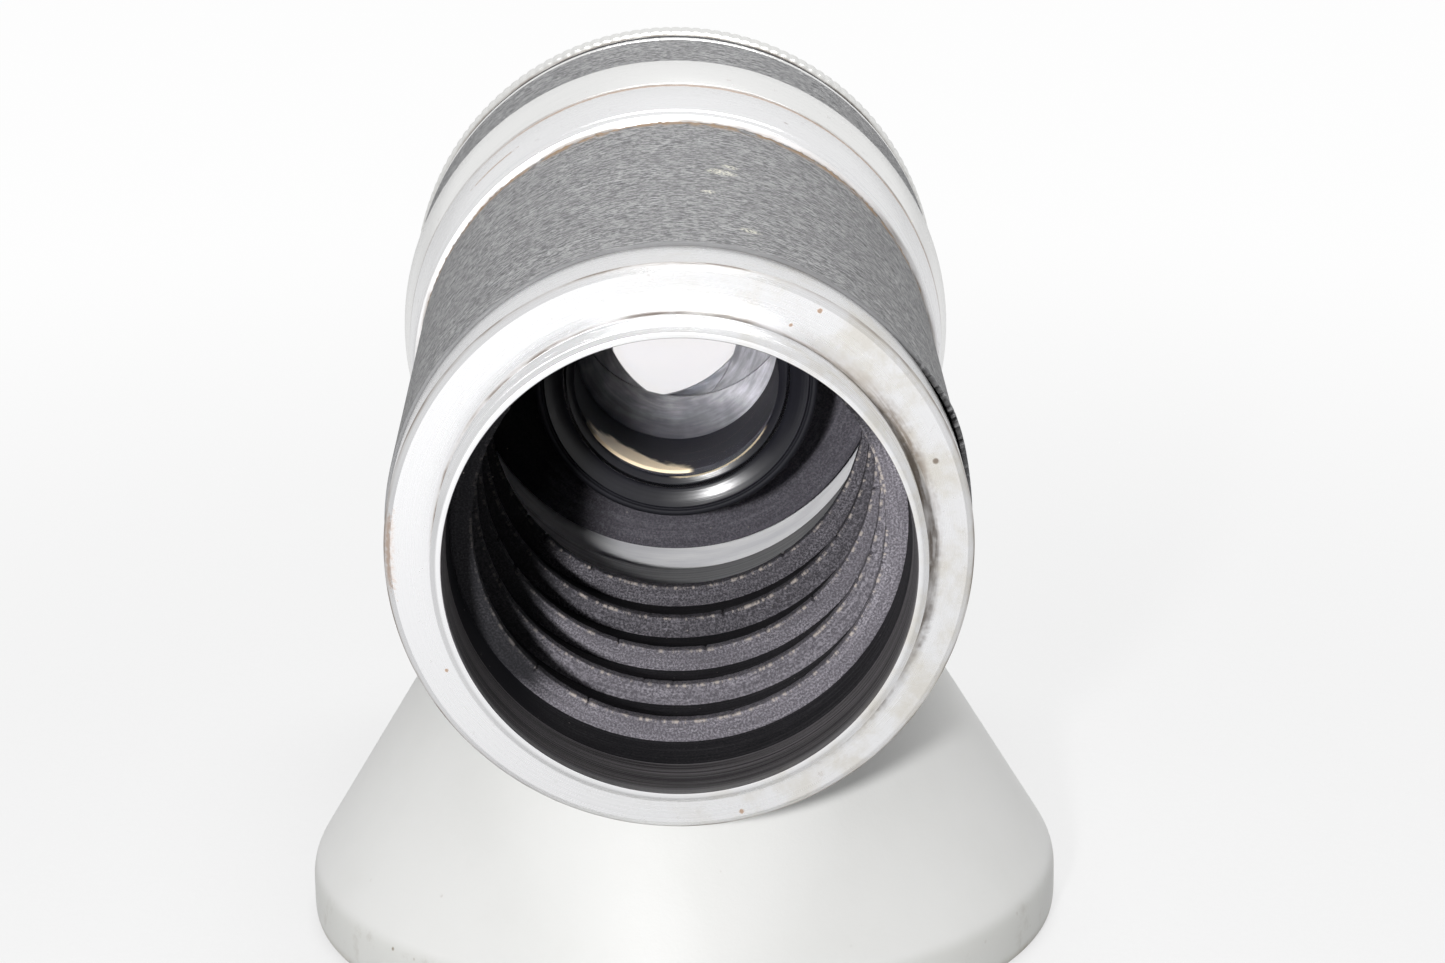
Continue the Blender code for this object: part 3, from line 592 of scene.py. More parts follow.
@dataclass(frozen=True)
class GlarePaint:
    """Matt black paint: sandy grain, turning lines, dust specks, chips at stated edges, painted shade off its
    lit side.
    """

    colour: Colour = (0.135, 0.127, 0.146)
    grain: Colour = (0.570, 0.540, 0.600)
    chip: Colour = (0.56, 0.50, 0.46)
    roughness: float = 0.62
    gloss: float = 0.18
    sand: float = 1.0
    # The colour of the painted shade away from the lit side.
    shadow_side_colour: Colour = (0.016, 0.016, 0.019)
    lit_side: float = 143.0
    metal: Colour = (0.95, 0.95, 0.96)
    bare_from: float = math.inf
    first_edge: float = 0.0
    edge_pitch: float = 0.0
    crest: float = 0.0

    def material(self, name: str) -> Material:
        """Builds the material.

        Args:
            name: its name.

        Returns:
            The material.
        """
        graph = Surface(name)
        space = LensSpace(graph)
        sand = graph.noise(space.even(), 5.2, 2.0, 0.7)
        lines = graph.noise(space.grain(0.8, 4.5, 4.5), 1.0, 3.0)
        dust = graph.cells(space.even(), 0.9).rises(0.10, 0.04)
        dust = dust * graph.noise(space.even(), 0.4).rises(0.50, 0.62)
        cloud = graph.noise(space.grain(3.0, 0.5, 0.9), 1.0, 3.0).rises(0.30, 0.66)
        # Painted shade: away from the lit side the paint turns near black, and its grain and chips fade.
        lit_share = (space.facing(self.lit_side) + (cloud - 0.5) * 0.08).rises(0.08, 0.40)
        light = sand.rises(0.38, 0.72) * self.sand * 0.75 + lines.rises(0.45, 0.75) * 0.25
        light = light * (0.55 + cloud * 0.45) * (0.1 + lit_share * 0.9)
        tint = graph.blend(light, graph.blend(lit_share, self.shadow_side_colour, self.colour), self.grain)
        tint = graph.blend(dust * 0.6, tint, self.chip)
        if self.edge_pitch:
            offset = ((space.depth - self.first_edge + self.edge_pitch / 2.0) / self.edge_pitch).fraction()
            behind = abs(offset * self.edge_pitch - self.edge_pitch / 2.0 - 0.10)
            dashes = graph.noise(space.grain(26.0, 0.7, 0.7), 1.0, 4.0, 0.7).rises(0.50, 0.60)
            at_crest = space.radius.rises(self.crest + 0.32, self.crest + 0.16)
            chips = behind.rises(0.34, 0.12) * at_crest * dashes
            tint = graph.blend(chips * (0.15 + lit_share * 0.85), tint, self.chip)
        if self.bare_from < math.inf:
            dull = tuple(0.72 * part for part in self.metal)
            bare = space.depth.rises(self.bare_from, self.bare_from + 0.2)
            tint = graph.blend(bare, tint, graph.blend(lines.rises(0.35, 0.65), dull, self.metal))
        normal = graph.bump(lines, 0.015, graph.bump(sand, 0.07 * self.sand + 0.01))
        rough = self.roughness + light * 0.12 - dust * 0.1
        parts = {Part.COLOUR: tint, Part.ROUGHNESS: rough, Part.NORMAL: normal}
        return graph.finish(parts, Specular_IOR_Level=self.gloss)


@dataclass(frozen=True)
class GlossBlack:
    """Semi-gloss black enamel on turned metal, with painted reflections on given marks."""

    colour: Colour = (0.010, 0.010, 0.014)
    haze: Colour = (0.032, 0.032, 0.042)
    roughness: float = 0.15
    gloss: float = 0.25
    # Marks where a painted reflection shows, in the pale reflection colour.
    bare: tuple[Mark, ...] = ()
    reflection_colour: Colour = (0.78, 0.64, 0.44)
    reflection_within: float = math.inf
    reflection_roughness: float = 0.35
    matt_within: float = 0.0
    inner_roughness: float = 0.75
    matt_beyond: float = math.inf
    outer_roughness: float = 0.60

    def material(self, name: str) -> Material:
        """Builds the material.

        Args:
            name: its name.

        Returns:
            The material.
        """
        graph = Surface(name)
        space = LensSpace(graph)
        lines = graph.noise(space.grain(0.5, 6.0, 6.0), 1.0, 3.0)
        haze = graph.noise(space.even(), 0.35, 4.0)
        tint = graph.blend(lines * 0.5 + haze * 0.4, self.colour, self.haze)
        rough = self.roughness + haze * 0.10 - 0.04 + lines * 0.06
        if self.matt_within:
            rough = rough.toward(self.inner_roughness, space.within(self.matt_within, 0.1))
        if self.matt_beyond < math.inf:
            outer = space.radius.rises(self.matt_beyond, self.matt_beyond + PAINT_EDGE)
            rough = rough.toward(self.outer_roughness, outer)
        # Painted reflection on each mark.
        for place in self.bare:
            worn = (place.mask(space) * 2.5).at_most(1.0)
            if self.reflection_within < math.inf:
                worn = worn * space.within(self.reflection_within)
            tint = graph.blend(worn, tint, self.reflection_colour)
            rough = rough.toward(self.reflection_roughness, worn)
        parts = {Part.COLOUR: tint, Part.ROUGHNESS: rough, Part.NORMAL: graph.bump(lines, 0.016)}
        return graph.finish(parts, Specular_IOR_Level=self.gloss)


@dataclass(frozen=True)
class BladeSteel:
    """Blued spring steel with rub marks, and painted shadow on given marks."""

    colour: Colour = (0.34, 0.34, 0.37)
    rub: Colour = (0.78, 0.78, 0.83)
    shadow_colour: Colour = (0.030, 0.030, 0.040)
    roughness: float = 0.42
    metallic: float = 0.3
    shadow_marks: tuple[Mark, ...] = ()

    def material(self, name: str) -> Material:
        """Builds the material.

        Args:
            name: its name.

        Returns:
            The material.
        """
        graph = Surface(name)
        space = LensSpace(graph)
        rubbed = graph.noise(space.grain(3.0, 0.2, 2.4), 1.0, 4.0)
        cloud = graph.noise(space.even(), 0.45, 3.0)
        tint = graph.blend((rubbed * 0.6 + cloud * 0.4).rises(0.35, 0.75), self.colour, self.rub)
        # Painted shadow: each mark darkens the blades to the shadow colour.
        for mark in self.shadow_marks:
            tint = graph.blend(mark.mask(space) * 0.9, tint, self.shadow_colour)
        rough = self.roughness + cloud * 0.18 - 0.08
        normal = graph.bump(rubbed, 0.01)
        parts = {Part.COLOUR: tint, Part.ROUGHNESS: rough, Part.NORMAL: normal}
        return graph.finish(parts, Metallic=self.metallic)


@dataclass(frozen=True)
class CoatedGlass:
    """Clear glass under a thin violet coating, with a breath of haze, which lets the lamps shine through."""

    tint: Colour = (0.985, 0.975, 1.0)
    index: float = 1.52
    coating_index: float = 1.38
    coating_thickness: float = 128.0
    blur: float = 0.035

    def material(self, name: str) -> Material:
        """Builds the material.

        Args:
            name: its name.

        Returns:
            The material.
        """
        graph = Surface(name)
        space = LensSpace(graph)
        haze = graph.noise(space.even(), 0.25, 4.0)
        parts = {
            Part.ROUGHNESS: haze.rises(0.45, 0.80) * self.blur,
            Part.COLOUR: graph.blend(haze, self.tint, WHITE),
        }
        by_lamp = graph.node("ShaderNodeLightPath").outputs["Is Shadow Ray"]
        clear = graph.node("ShaderNodeBsdfTransparent").outputs[0]
        graph.show(graph.shader.outputs[0], clear, by_lamp)
        return graph.finish(
            parts,
            IOR=self.index,
            Transmission_Weight=1.0,
            Thin_Film_Thickness=self.coating_thickness,
            Thin_Film_IOR=self.coating_index,
        )


@dataclass(frozen=True)
class WhiteMoulding:
    """White moulded plastic, faintly mottled, with painted shade on its upright rim, soiled edges and brown
    specks.
    """

    colour: Colour = (0.85, 0.85, 0.835)
    shade: Colour = (0.68, 0.685, 0.65)
    dirt: Colour = (0.27, 0.21, 0.14)
    roughness: float = 0.38
    rim_height: float = 5.0

    def material(self, name: str) -> Material:
        """Builds the material.

        Args:
            name: its name.

        Returns:
            The material.
        """
        graph = Surface(name)
        space = LensSpace(graph)
        height = space.up + AXIS_HEIGHT / MM
        mottle = graph.noise(space.even(), 0.09, 5.0)
        pores = graph.noise(space.even(), 2.6, 3.0)
        rim = height.rises(self.rim_height + 0.8, self.rim_height - 0.6)
        smear = graph.noise(space.even(), 0.30, 5.0, 0.65).rises(0.52, 0.74)
        # Painted shade: besides a faint mottle, the upright rim at the foot is toned to the shade colour.
        tint = graph.blend(mottle.rises(0.35, 0.75) * 0.14 + rim * 0.55, self.colour, self.shade)
        specks = graph.cells(space.even(), 0.30).rises(0.085, 0.03)
        specks = specks * graph.noise(space.even(), 0.12).rises(0.50, 0.62)
        foot = height.rises(1.4, 0.2) * (0.35 + smear * 0.4)
        soiled = specks.at_least(foot).at_least(rim * smear * 0.22)
        tint = graph.blend(soiled, tint, self.dirt)
        rough = self.roughness + pores * 0.10 + soiled * 0.2
        normal = graph.bump(pores, 0.012)
        return graph.finish({Part.COLOUR: tint, Part.ROUGHNESS: rough, Part.NORMAL: normal})


@dataclass(frozen=True)
class PaleFloor:
    """White table paper with a faint tooth, which keeps the shadow and fades into the white further off."""

    colour: Colour = (0.66, 0.66, 0.66)
    shade: Colour = (0.62, 0.62, 0.625)
    roughness: float = 0.7
    near_white: float = 0.70
    far_white: float = 0.97
    fade: tuple[float, float] = (50.0, 300.0)
    mirrored: float = 0.6

    def material(self, name: str) -> Material:
        """Builds the material.

        Args:
            name: its name.

        Returns:
            The material.
        """
        graph = Surface(name)
        space = LensSpace(graph)
        tooth = graph.noise(space.even(), 0.9, 4.0)
        cloud = graph.noise(space.even(), 0.02, 3.0)
        tint = graph.blend(cloud * 0.7 + tooth * 0.3, self.colour, self.shade)
        path = graph.node("ShaderNodeLightPath").outputs
        seen_through = Value(graph, path["Is Camera Ray"]) + Value(graph, path["Is Transmission Ray"])
        seen = (seen_through + Value(graph, path["Is Glossy Ray"]) * self.mirrored).at_most(1.0)
        ahead = space.depth + REAR_RIM / MM
        off = (space.across * space.across + ahead * ahead).root().rises(*self.fade)
        share = self.near_white + off * (self.far_white - self.near_white)
        white = graph.node("ShaderNodeEmission").outputs[0]
        graph.show(graph.shader.outputs[0], white, seen * share)
        rough, normal = self.roughness + tooth * 0.1, graph.bump(tooth, 0.05)
        return graph.finish({Part.COLOUR: tint, Part.ROUGHNESS: rough, Part.NORMAL: normal})


Metal = TurnedMetal | BladeSteel
Coating = Leatherette | GlarePaint | GlossBlack
Finish = Metal | Coating | CoatedGlass | WhiteMoulding | PaleFloor
STEEL = TurnedMetal((0.5, 0.5, 0.49), 0.35)
INNER_BLACK = GlarePaint((0.030, 0.029, 0.034), (0.11, 0.105, 0.12), sand=0.4)


# Mesh making


def eased(outline: Sequence[Point], size: float, cuts: int = CORNER_CUTS) -> list[Point]:
    """Rounds the corners of a closed outline.

    Args:
        outline: its points.
        size: how far from a corner the rounding starts.
        cuts: segments in each rounding.

    Returns:
        The rounded outline. Points on the axis stay as they are.
    """
    points = [np.array(point, float) for point in outline]
    made: list[Point] = []
    for index, corner in enumerate(points):
        before, after = points[index - 1], points[(index + 1) % len(points)]
        back, ahead = before - corner, after - corner
        reach_back, reach_ahead = np.linalg.norm(back), np.linalg.norm(ahead)
        if corner[1] == 0.0:
            made.append((float(corner[0]), 0.0))
            continue
        start = corner + back / reach_back * min(size, CORNER_SHARE * reach_back)
        end = corner + ahead / reach_ahead * min(size, CORNER_SHARE * reach_ahead)
        for step in range(cuts + 1):
            share = step / cuts
            spot = start * (1 - share) ** 2 + corner * 2 * share * (1 - share) + end * share**2
            made.append((float(spot[0]), float(spot[1])))
    return made


def divided(outline: Sequence[Point], step: float) -> list[Point]:
    """Splits the long edges of a closed outline.

    Args:
        outline: its points.
        step: the longest edge left.

    Returns:
        The outline with the added points.
    """
    made: list[Point] = []
    for index, start in enumerate(outline):
        end = outline[(index + 1) % len(outline)]
        cuts = max(1, math.ceil(math.dist(start, end) / step))
        for cut in range(cuts):
            share = cut / cuts
            made.append((start[0] + (end[0] - start[0]) * share, start[1] + (end[1] - start[1]) * share))
    return made


def stepped(depth: float, radius: float, *turns: float) -> list[Point]:
    """A line with square corners.

    Args:
        depth: the depth where it starts.
        radius: the radius where it starts.
        turns: the radius it goes to next, then the depth, then the radius again, and so on.

    Returns:
        Its points.
    """
    points = [(depth, radius)]
    for index, turn in enumerate(turns):
        points.append((turn, points[-1][1]) if index % 2 else (points[-1][0], turn))
    return points


def ring_outline(rear: float, front: float, inner: float, outer: float) -> list[Point]:
    """The outline of a plain ring."""
    return stepped(rear, inner, outer, front, inner)


def span(node: str) -> Point:
    """Depths of the rear and front end of a solid, in millimetres."""
    return tuple((corner.y - REAR_RIM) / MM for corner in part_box(node))


def smooth_step(value: Field, low: float, high: float) -> Field:
    """A smooth rise from 0 at low to 1 at high."""
    share = np.clip((value - low) / (high - low), 0.0, 1.0)
    return share * share * (3.0 - 2.0 * share)


def ripple(angle: Field, seed: int, low: int, high: int, waves: int = 14) -> Field:
    """Seeded unevenness round a turn.

    Args:
        angle: angles in radians.
        seed: which pattern.
        low: fewest waves in a turn.
        high: most waves in a turn.
        waves: how many waves are added up.

    Returns:
        Values from about -1 to 1.
    """
    chance = np.random.RandomState(seed)
    total = np.zeros_like(angle)
    for _ in range(waves):
        total += np.sin(chance.randint(low, high) * angle + chance.uniform(0.0, FULL_TURN))
    return total / math.sqrt(2.0 * waves)


def thread_tooth(depth: Field, angle: Field, pitch: float) -> Field:
    """The profile of a helical thread: 0 on its crest and 1 at its root."""
    return np.abs((depth / pitch - angle / FULL_TURN) % 1.0 - 0.5) * 2.0


def strips(pairs: Sequence[tuple[int, int]], steps: int) -> list[tuple[int, ...]]:
    """Faces between rows of points that close on themselves.

    Args:
        pairs: numbers of the two rows that each strip joins.
        steps: points in a row.

    Returns:
        Corner numbers of each face.
    """
    faces = []
    for row, following in pairs:
        start, end = row * steps, following * steps
        for step in range(steps):
            beside = (step + 1) % steps
            faces.append((start + step, end + step, end + beside, start + beside))
    return faces


def placed(name: str, data: bpy.types.ID) -> Object:
    """Puts a new object into the scene.

    Args:
        name: its name.
        data: its mesh, lamp or camera.

    Returns:
        The object.
    """
    item = bpy.data.objects.new(name, data)
    bpy.context.scene.collection.objects.link(item)
    return item


def smooth(mesh: bpy.types.Mesh) -> None:
    """Shades a mesh smooth between its sharp edges."""
    mesh.shade_smooth()
    mesh.set_sharp_from_angle(angle=SHARP_ANGLE)


def new_object(name: str, points: np.ndarray, faces: Sequence[Sequence[int]]) -> Object:
    """A mesh object from points in metres.

    Args:
        name: its name.
        points: an array of points.
        faces: corner numbers of each face.

    Returns:
        The object, smooth with sharp edges.
    """
    mesh = bpy.data.meshes.new(name)
    mesh.from_pydata([tuple(point) for point in points], [], [tuple(face) for face in faces])
    shape = bmesh.new()
    shape.from_mesh(mesh)
    bmesh.ops.remove_doubles(shape, verts=shape.verts, dist=WELD)
    bmesh.ops.recalc_face_normals(shape, faces=shape.faces)
    shape.to_mesh(mesh)
    shape.free()
    smooth(mesh)
    return placed(name, mesh)


def turned(
    name: str, outline: Sequence[Point], fineness: Fineness = Fineness.ROUND, warp: Warp | None = None
) -> Object:
    """Spins a closed outline round the lens axis.

    Args:
        name: the object's name.
        outline: (depth, radius) points in millimetres.
        fineness: facets round the axis.
        warp: moves the points, given their depths, radii and angles.

    Returns:
        The object.
    """
    steps = fineness.value
    turn = np.linspace(0.0, FULL_TURN, steps, endpoint=False)
    rows = np.array(outline, float)
    depth = np.repeat(rows[:, :1], steps, axis=1)
    radius = np.repeat(rows[:, 1:], steps, axis=1)
    angle = np.repeat(turn[None, :], len(rows), axis=0)
    if warp is not None:
        depth, radius = warp(depth, radius, angle)
    points = np.stack(
        [
            radius * np.sin(angle) * MM,
            depth * MM + REAR_RIM,
            radius * np.cos(angle) * MM + AXIS_HEIGHT,
        ],
        axis=-1,
    ).reshape(-1, 3)
    pairs = [(row, (row + 1) % len(rows)) for row in range(len(rows))]
    off_axis = [pair for pair in pairs if rows[pair, 1].any()]
    return new_object(name, points, strips(off_axis, steps))


def swept(name: str, outline: Sequence[Point], middle: float, half: float, steps: int = 48) -> Object:
    """Sweeps a closed outline over part of a turn, as a cutter.

    Args:
        name: the object's name.
        outline: (depth, radius) points in millimetres.
        middle: the angle of its middle, in degrees.
        half: how far it goes to either side, in degrees.
        steps: facets along it.

    Returns:
        The object.
    """
    size = len(outline)
    points = []
    for angle in np.radians(np.linspace(middle - half, middle + half, steps + 1)):
        for depth, radius in outline:
            across, up = radius * math.sin(angle), radius * math.cos(angle)
            points.append((across * MM, depth * MM + REAR_RIM, up * MM + AXIS_HEIGHT))
    faces: list[Sequence[int]] = [list(range(size)), list(range(steps * size, (steps + 1) * size))]
    for step in range(steps):
        start, end = step * size, (step + 1) * size
        for row in range(size):
            following = (row + 1) % size
            faces.append((start + row, start + following, end + following, end + row))
    return new_object(name, np.array(points), faces)


def drill(item: Object, angle: float, depth: float, inner: float, outer: float, radius: float) -> None:
    """Drills a hole straight out from the lens axis.

    Args:
        item: what is drilled.
        angle: the hole's angle in degrees.
        depth: its depth along the axis, in millimetres.
        inner: the radius where it starts.
        outer: the radius where it ends.
        radius: the hole's own radius.
    """
    out = Vector((math.sin(math.radians(angle)), 0.0, math.cos(math.radians(angle))))
    middle = out * ((inner + outer) / 2.0 * MM) + Vector((0.0, depth * MM + REAR_RIM, AXIS_HEIGHT))
    cut_away(item, bar("hole", middle, out, radius * MM, (outer - inner) * MM))


def cut_away(item: Object, cutter: Object) -> None:
    """Cuts one object from another for good.

    Args:
        item: what is cut.
        cutter: what it is cut with, which is removed.
    """
    modifier = item.modifiers.new("cut", "BOOLEAN")
    modifier.operation = "DIFFERENCE"
    modifier.solver = "EXACT"
    modifier.object = cutter
    graph = bpy.context.evaluated_depsgraph_get()
    mesh = bpy.data.meshes.new_from_object(item.evaluated_get(graph))
    item.modifiers.clear()
    item.data = mesh
    smooth(mesh)
    bpy.data.objects.remove(cutter, do_unlink=True)


def bar(name: str, middle: Vector, along: Vector, radius: float, length: float) -> Object:
    """A round bar, to drill with.

    Args:
        name: its name.
        middle: its middle, in metres.
        along: its direction.
        radius: its radius in metres.
        length: its length in metres.

    Returns:
        The object.
    """
    shape = bmesh.new()
    sizes = {"radius1": radius, "radius2": radius, "depth": length}
    bmesh.ops.create_cone(shape, cap_ends=True, segments=HOLE_SIDES, **sizes)
    placing = Matrix.Translation(middle) @ along.to_track_quat("Z", "Y").to_matrix().to_4x4()
    bmesh.ops.transform(shape, matrix=placing, verts=shape.verts)
    mesh = bpy.data.meshes.new(name)
    shape.to_mesh(mesh)
    shape.free()
    return placed(name, mesh)


# Sub-assemblies

BODY_OF = {node: body for body, nodes in frame["record"]["behaviour"]["bodies"].items() for node in nodes}


@dataclass
class Assembly:
    """Pieces that are made together. Each stands for one solid of the frame, by name."""

    pieces: dict[str, Object] = field(default_factory=dict, init=False)

    def stand_for(self, node: str, item: Object) -> None:
        """Puts a new piece in the place of a solid.

        Args:
            node: the solid's name.
            item: the new piece.
        """
        item.name = node + "_turned"
        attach(item, BODY_OF[node])
        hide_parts(node)
        self.pieces[node] = item

    def keep(self, node: str) -> None:
        """Keeps a solid of the frame as it is, to be dressed.

        Args:
            node: the solid's name.
        """
        self.pieces[node] = frame["nodes"][node]

    def coat(self, finish: Finish, *nodes: str) -> None:
        """Gives pieces one finish.

        Args:
            finish: the finish.
            nodes: names of the solids that the pieces stand for.
        """
        material = finish.material(type(finish).__name__ + "_" + nodes[0])
        for node in nodes:
            mesh = self.pieces[node].data
            mesh.materials.clear()
            mesh.materials.append(material)
            LOG.info("%s: %s", node, type(finish).__name__)


@dataclass
class RearMount(Assembly):
    """The flange with its screw collar, and the grub screw that locks it."""

    bore: float = 20.0
    thread_radius: float = 21.0
    thread_length: float = 4.9
    thread_pitch: float = 1.0
    thread_depth: float = 0.42
    thread_start: float = 0.62
    thread_rows: int = 64
    run_in: tuple[float, float] = (0.15, 0.85)
    run_out: float = 0.6
    undercut: float = 0.45
    undercut_start: float = 0.40
    undercut_depth: float = 0.3
    lip: float = 0.45
    rounding: float = 0.12
    flange_radius: float = 25.2
    flange_end: float = 11.6
    chamfer: float = 0.6
    edge: float = 0.15
    socket: float = 22.8
    counterbore: float = 7.0
    screw_radius: float = 1.25
    screw_fit: float = 0.15
    hole_length: float = 6.0
    paint_over: float = 0.08

    def thread(self, depth: Field, radius: Field, angle: Field) -> tuple[Field, Field]:
        """Cuts the helical thread into the collar.

        Args:
            depth: depths of the points.
            radius: their radii.
            angle: their angles.

        Returns:
            The moved depths and radii.
        """
        start, full = (self.lip + along for along in self.run_in)
        end = self.thread_length - self.undercut
        fade = smooth_step(depth, start, full) * (1.0 - smooth_step(depth, end - self.run_out, end))
        on_collar = np.abs(radius - self.thread_radius) < SAME_RADIUS
        groove = self.thread_depth * thread_tooth(depth, angle, self.thread_pitch)
        return depth, radius - on_collar * fade * groove

    def build(self) -> None:
        """Turns the flange, cuts its screw hole and keeps the screw."""
        end, root = self.thread_length - self.undercut, self.thread_radius - self.undercut_depth
        depths = np.linspace(self.thread_start, end, self.thread_rows)
        collar = [(float(depth), self.thread_radius) for depth in depths]
        shoulder = (self.lip, self.thread_radius)
        rear = eased([(0.0, self.bore), (0.0, self.thread_radius - self.lip), shoulder], self.rounding)
        rear = rear[: -CORNER_CUTS - 1]
        front = [
            (self.thread_length - self.undercut_start, root),
            (self.thread_length, root),
            (self.thread_length, self.flange_radius - self.chamfer),
            (self.thread_length + self.chamfer, self.flange_radius),
            (self.flange_end - self.edge, self.flange_radius),
            (self.flange_end, self.flange_radius - self.edge),
            (self.flange_end, self.socket),
            *stepped(self.counterbore, self.socket, self.bore),
        ]
        item = turned("flange", rear + [shoulder] + collar + front, warp=self.thread)
        low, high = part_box("flange_lock_screw")
        radius = (self.screw_radius + self.screw_fit) * MM
        cut_away(item, bar("hole", (low + high) / 2.0, Vector((0, 0, 1)), radius, self.hole_length * MM))
        self.stand_for("mount_flange", item)
        self.keep("flange_lock_screw")

    def dress(self) -> None:
        """Bare metal outside, black paint in the bore."""
        seams = (
            (self.thread_length, self.thread_radius),
            (self.thread_length + self.chamfer, self.flange_radius),
            (self.flange_end, self.flange_radius),
        )
        face = self.thread_length
        marks = (
            Mark(30, face, 24.2, 0.30),
            Mark(26, face, 22.0, 0.22),
            Mark(168, face, 24.2, 0.28),
            Mark(271, face + 0.3, 24.7, 0.6, spread=9),
            Mark(243, face, 22.6, 0.22),
            Mark(239, face, 21.8, 0.22),
        )
        metal = TurnedMetal(
            (0.85, 0.85, 0.86),
            0.27,
            seams=seams,
            gloss=0.1,
            marks=marks,
            # A painted shadow of the screw collar, on the right of the flange face.
            painted_shadows=(Mark(108, face, 21.5, 1.3, spread=78, length=0.9),),
            right_side_clouds=0.75,
            painted_within=self.bore + self.paint_over,
        )
        self.coat(metal, "mount_flange")
        self.coat(STEEL, "flange_lock_screw")


@dataclass
class RearTube(Assembly):
    """The rear tube, its glare rings and its leatherette."""

    bore: float = 20.0
    spigot: float = 22.5
    outside: float = 24.7
    rear: float = 7.3
    rear_play: float = 0.28
    socket_play: float = 0.3
    wrap_start: float = 11.9
    wrap_end: float = 63.2
    socket_start: float = 55.3
    front: float = 62.9
    wrap_inner: float = 25.0
    wrap_outer: float = 25.5
    ring_count: int = 5
    ring_crest: float = 18.0
    ring_flat: float = 1.2
    ring_back: float = 2.6
    chip_zone: float = 0.9
    nick_level: float = 0.75
    nick: Point = (0.30, 0.42)
    wave: Point = (0.05, 0.03)
    fray_reach: float = 1.2
    fray_back: float = 0.12
    fray: Point = (0.14, 0.3)
    tufts: Point = (0.11, 0.3)
    lumps: float = 0.05
    jag: Point = (0.36, 0.60)
    tear_angle: float = math.radians(68.0)
    tear_spread: float = math.radians(11.0)
    tear_lift: float = 0.42
    wrap_lap: float = 0.27
    tear_reach: float = 6.0
    edge: float = 0.15
    ring_edge: float = 0.12
    ring_mesh: float = 0.3
    wrap_edge: float = 0.18
    wrap_skin: float = 0.2
    nick_waves: tuple[int, int] = (30, 170)
    uneven_waves: tuple[int, int] = (8, 90)
    fray_wave: tuple[int, ...] = (5, 12, 160)
    fray_burst: tuple[int, ...] = (6, 40, 200)
    jag_wave: tuple[int, ...] = (9, 60, 260)
    lump_wave: tuple[int, ...] = (3, 2, 9, 6)
    tuft_wave: tuple[int, ...] = (11, 90, 260)
    tuft_burst: tuple[int, ...] = (12, 30, 120)
    tuft_level: float = 0.8

    def rough_crest(self, depth: Field, radius: Field, angle: Field) -> tuple[Field, Field]:
        """Chips the crest of a glare ring.

        Args:
            depth: depths of the points.
            radius: their radii.
            angle: their angles.

        Returns:
            The moved depths and radii.
        """
        seed = int(round(float(depth.min())))
        crest = 1.0 - smooth_step(radius, self.ring_crest, self.ring_crest + self.chip_zone)
        nicks = np.clip(ripple(angle, seed, *self.nick_waves) - self.nick_level, 0.0, 1.0)
        uneven = ripple(angle, seed + 1, *self.uneven_waves)
        back, out = (crest * (uneven * wave + nicks * nick) for wave, nick in zip(self.wave, self.nick))
        return depth + back, radius + out

    def worn_edge(self, depth: Field, radius: Field, angle: Field) -> tuple[Field, Field]:
        """Frays the ends of the leatherette and lifts its torn corner.

        Args:
            depth: depths of the points.
            radius: their radii.
            angle: their angles.

        Returns:
            The moved depths and radii.
        """
        at_front = smooth_step(depth, self.wrap_end - self.fray_reach, self.wrap_end)
        fray = ripple(angle, *self.fray_wave) * self.fray[0]
        fray += np.clip(ripple(angle, *self.fray_burst) - 1.0, 0.0, 1.0) * self.fray[1]
        swing = (angle - self.tear_angle) / self.tear_spread
        at_rear = 1.0 - smooth_step(depth, self.wrap_start, self.wrap_start + self.tear_reach)
        tear = np.exp(-(swing**2)) * at_rear
        jag = tear * (self.jag[0] + self.jag[1] * ripple(angle, *self.jag_wave))
        lumps = ripple(angle, *self.lump_wave) * self.lumps
        tufts = np.clip(ripple(angle, *self.tuft_wave), 0.0, 2.0) * self.tufts[0]
        tufts += np.clip(ripple(angle, *self.tuft_burst) - self.tuft_level, 0.0, 1.0) * self.tufts[1]
        outside = radius > self.wrap_inner + self.wrap_skin
        lift = tear * self.tear_lift + (lumps + at_front * tufts) * outside
        return depth - at_front * (self.fray_back + fray) + jag, radius + lift

    def build(self) -> None:
        """Turns the tube, the rings and the leatherette."""
        tube = stepped(self.rear - self.rear_play, self.bore, self.spigot, self.wrap_start, self.outside)
        tube_end = self.socket_start - self.socket_play
        tube += stepped(tube_end, self.outside, self.spigot, self.front, self.bore)
        self.stand_for("barrel_tube", turned("tube", eased(tube, self.edge, FEW_CUTS)))
        for node in self.rings():
            riser = span(node)[0]
            section = [
                (riser, self.bore),
                (riser, self.ring_crest),
                (riser + self.ring_flat, self.ring_crest),
                (riser + self.ring_flat + self.ring_back, self.bore),
            ]
            section = divided(eased(section, self.ring_edge, FEW_CUTS), self.ring_mesh)
            self.stand_for(node, turned("ring", section, Fineness.FINE, self.rough_crest))
        cover = ring_outline(self.wrap_start - self.wrap_lap, self.wrap_end, self.wrap_inner, self.wrap_outer)
        cover = divided(eased(cover, self.wrap_edge, FEW_CUTS), COVER_MESH)
        self.stand_for("leatherette_wrap", turned("wrap", cover, Fineness.FINE, self.worn_edge))

    def rings(self) -> list[str]:
        """Names of the glare rings, from the rear."""
        return [f"baffle_ring_{index + 1}" for index in range(self.ring_count)]

